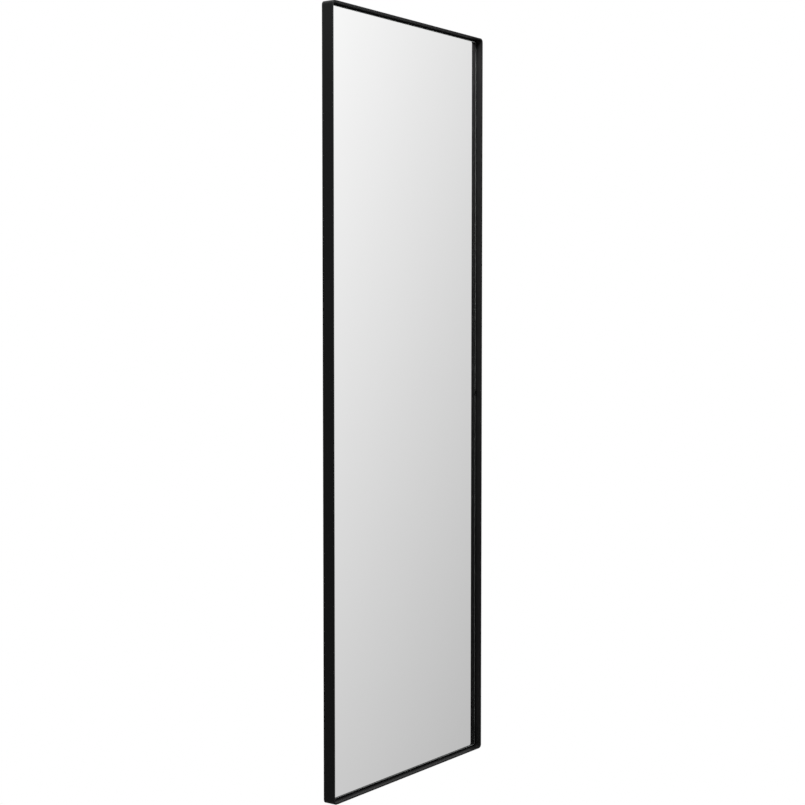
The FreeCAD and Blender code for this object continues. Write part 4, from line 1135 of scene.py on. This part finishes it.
@dataclass(frozen=True)
class Slides(SubAssembly):
    """Roll-formed members of both telescopic slides.

    Attributes:
        ease: The rounding of their sheared edges.
        levels: The two slides.
        members: The three members of each.
    """

    ease: float = 0.15 * MM
    levels: tuple[str, ...] = ("upper", "lower")
    members: tuple[str, ...] = ("outer", "middle", "inner")

    def build(self) -> None:
        """Ease and dress the members."""
        palette = self.palette
        for level in self.levels:
            for member in self.members:
                name = f"{level}_{member}_profile"
                ease_node(f"{level}_{member}_member", name, self.ease, palette.rolled_zinc, palette.zinc)


@dataclass(frozen=True)
class Fittings(SubAssembly):
    """Small turned, stamped and moulded pieces, whose sharp edges are eased.

    Attributes:
        kinds: Each kind's CAD node, its new name and the width of its rounding.
    """

    kinds: tuple[tuple[str, str, float], ...] = (
        ("mirror_tape", "foam_tape_strips", 0.3 * MM),
        ("weld_nuts", "welded_hexagon_nuts", 0.3 * MM),
        ("upper_pivot_bush", "upper_flanged_bush", 0.2 * MM),
        ("lower_pivot_bush", "lower_flanged_bush", 0.2 * MM),
        ("friction_washers", "swivel_washers", 0.12 * MM),
        ("pin_clip", "pin_spring_clip", 0.12 * MM),
        ("rest_buffers", "carriage_rest_buffers", 0.5 * MM),
        ("rear_buffers", "plate_rear_buffers", 0.5 * MM),
    )

    def build(self) -> None:
        """Ease each kind and dress it in its slot's finish."""
        for node, name, ease in self.kinds:
            ease_node(node, name, ease, self.palette.by_slot(slot_of(node)))


@dataclass(frozen=True)
class CadNodes(SubAssembly):
    """The CAD nodes that show as they are, in the finishes of their slots."""

    def build(self) -> None:
        """Give every node its slot's finish."""
        for part in frame["record"]["subparts"]:
            node = frame["nodes"][part["node"]]
            material = self.palette.by_slot(Slot(part["material_slot"]))
            if not node.material_slots:
                node.data.materials.append(material)
            for place in node.material_slots:
                place.material = material


# --- Studio ---
@dataclass(frozen=True)
class Lamp:
    """Square soft light.

    Attributes:
        name: Its name.
        place: Where it stands.
        aim: The point that it faces.
        side: The length of its side.
        power: Its power in watts.
        mirrored: Whether reflections show it.
    """

    name: str
    place: Point
    aim: Point
    side: float
    power: float
    mirrored: bool = True

    def build(self) -> None:
        """Add the lamp."""
        data = bpy.data.lights.new(self.name, "AREA")
        data.shape = "SQUARE"
        data.size = self.side
        data.energy = self.power
        lamp = bpy.data.objects.new(self.name, data)
        bpy.context.scene.collection.objects.link(lamp)
        lamp.location = self.place
        lamp.rotation_euler = (Vector(self.aim) - Vector(self.place)).to_track_quat("-Z", "Y").to_euler()
        lamp.visible_glossy = self.mirrored


@dataclass(frozen=True)
class Studio:
    """Pale floor, soft light and the camera.

    Attributes:
        eye: Where the camera stands.
        heading: The camera's direction, in degrees from +X towards +Y.
        focal: The focal length in the image's pixels.
        image: The side of the square image in pixels.
        tilt: How far the camera looks up, in degrees.
        floor_drop: The height of the floor.
        floor_reach: The radius at which the floor has faded out.
        floor_fade: Where it starts to fade and is gone, as shares of that radius.
        floor_shade: The floor's colour.
        floor_glow: How much paler the floor looks than its light makes it.
        lamps: The key light, high in front on the left, and two fills that the mirror doesn't show.
        ambient: How strongly the world lights the part.
        sky_heights: How far down and up the reflected world is graded, as the direction's height.
        sky_gains: How bright the reflection is at these heights, as factors.
        horizon: How bright the reflection is, at directions in degrees from +X towards +Y.
    """

    eye: Point = (-1.7472, -1.2769, 0.1043)
    heading: float = 35.517
    focal: float = 1604.0
    image: float = 805.0
    tilt: float = -2.837
    floor_drop: float = -0.95
    floor_reach: float = 1.3
    floor_fade: Span = (0.55, 0.98)
    floor_shade: Colour = (0.82, 0.82, 0.82)
    floor_glow: float = 0.40
    lamps: tuple[Lamp, ...] = (
        Lamp("key", (-0.33, -0.33, 1.0), (0, 0, 0.6), 0.3, 12),
        Lamp("front_fill", (1.2, -1.5, 0.1), (0, 0, 0), 0.8, 10, mirrored=False),
        Lamp("rear_fill", (1.2, 2.0, 1.0), (0, 0, 0), 1.5, 45, mirrored=False),
    )
    ambient: float = 0.06
    sky_heights: Span = (-0.60, 0.50)
    sky_gains: Span = (0.51, 1.63)
    horizon: tuple[Span, ...] = (
        (-180, 0.36), (-160, 0.25), (-144, 0.17), (-118, 0.30), (-90, 0.58), (-55, 0.88), (-42, 0.931),
        (-28, 0.407), (-5, 0.40), (45, 0.70), (80, 0.95), (115, 0.42), (144, 0.60), (180, 0.36),
    )

    def build(self) -> None:
        """Set up the view, the floor, the lamps and the world."""
        scene = bpy.context.scene
        scene.view_settings.view_transform = "Standard"
        self.camera()
        self.floor()
        for lamp in self.lamps:
            lamp.build()
        self.world()

    def camera(self) -> None:
        """Add the camera, tilted slightly down."""
        data = bpy.data.cameras.new("camera")
        data.sensor_width = 36.0
        data.lens = data.sensor_width * self.focal / self.image
        data.clip_start = 0.05
        data.clip_end = 100
        camera = bpy.data.objects.new("camera", data)
        bpy.context.scene.collection.objects.link(camera)
        camera.location = self.eye
        camera.rotation_euler = (math.radians(90 + self.tilt), 0, math.radians(self.heading - 90))
        bpy.context.scene.camera = camera

    def floor(self) -> None:
        """Add a pale round floor that fades out at its edge."""
        bpy.ops.object.select_all(action="DESELECT")
        bpy.ops.mesh.primitive_circle_add(
            vertices=128, radius=self.floor_reach, fill_type="NGON", location=(0, 0, self.floor_drop)
        )
        floor = bpy.context.object
        floor.name = "floor"
        bpy.ops.object.transform_apply(location=True, rotation=True, scale=True)
        paint = Finish("pale_floor")
        paint.put("Base Color", self.floor_shade)
        paint.put("Roughness", 0.7)
        paint.put("Emission Color", WHITE)
        seen = paint.add("LightPath").outputs["Is Camera Ray"]
        paint.put("Emission Strength", paint.maths("MULTIPLY", seen, self.floor_glow))
        reach = paint.run("VectorMath", {0: paint.stretched((1, 1, 0))}, "Value", operation="LENGTH")
        near, far = (self.floor_reach * share for share in self.floor_fade)
        faded = paint.spread(reach, near, far, 0, 1, soft=True)
        clear = paint.run("BsdfTransparent", {})
        mixed = paint.run("MixShader", {0: faded, 1: paint.surface.outputs[0], 2: clear})
        paint.feed(paint.output, "Surface", mixed)
        dress(floor, paint.material)

    def world(self) -> None:
        """Make the world white to the camera, graded in reflections and plain as a light."""
        world = bpy.data.worlds.new("studio")
        bpy.context.scene.world = world
        world.use_nodes = True
        sky = Graph(world.node_tree)
        direction = sky.add("TexCoord").outputs["Generated"]
        around = sky.add("ValToRGB")
        sky.feed(around, 0, sky.run("TexGradient", {0: direction}, 1, gradient_type="RADIAL"))
        self.grade(around.color_ramp)
        height = sky.run("SeparateXYZ", {0: direction}, "Z")
        gain = sky.spread(height, *self.sky_heights, *self.sky_gains)
        graded = sky.maths("MULTIPLY", around.outputs[0], gain)
        path = sky.add("LightPath").outputs
        mirrored = sky.maths("MAXIMUM", path["Is Glossy Ray"], path["Is Transmission Ray"])
        above = sky.maths("SUBTRACT", graded, self.ambient)
        lit = sky.maths("ADD", sky.maths("MULTIPLY", mirrored, above), self.ambient)
        whiter = sky.maths("MULTIPLY", path["Is Camera Ray"], sky.maths("SUBTRACT", 1.0, lit))
        strength = sky.maths("ADD", whiter, lit)
        background = sky.run("Background", {"Color": WHITE, "Strength": strength})
        sky.feed(sky.add("OutputWorld"), "Surface", background)

    def grade(self, ramp: ColorRamp) -> None:
        """Set how bright the world's reflection is around the horizon.

        Args:
            ramp: The ramp over the turn from -X through -Y, +X and +Y.
        """
        ramp.interpolation = "B_SPLINE"
        while len(ramp.elements) < len(self.horizon):
            ramp.elements.new(0.5)
        for element, (degrees, level) in zip(ramp.elements, self.horizon):
            element.position = degrees / 360 + 0.5
            element.color = (level, level, level, 1)


def main() -> None:
    """Build the looks in order."""
    logging.basicConfig(level=logging.INFO, format="%(name)s: %(message)s")
    palette = Palette()
    for group in (CadNodes, MirrorPanel, Screws, FoldedSteel, Slides, Fittings):
        group(palette).build()
    Studio().build()


if __name__ == "__main__":
    main()
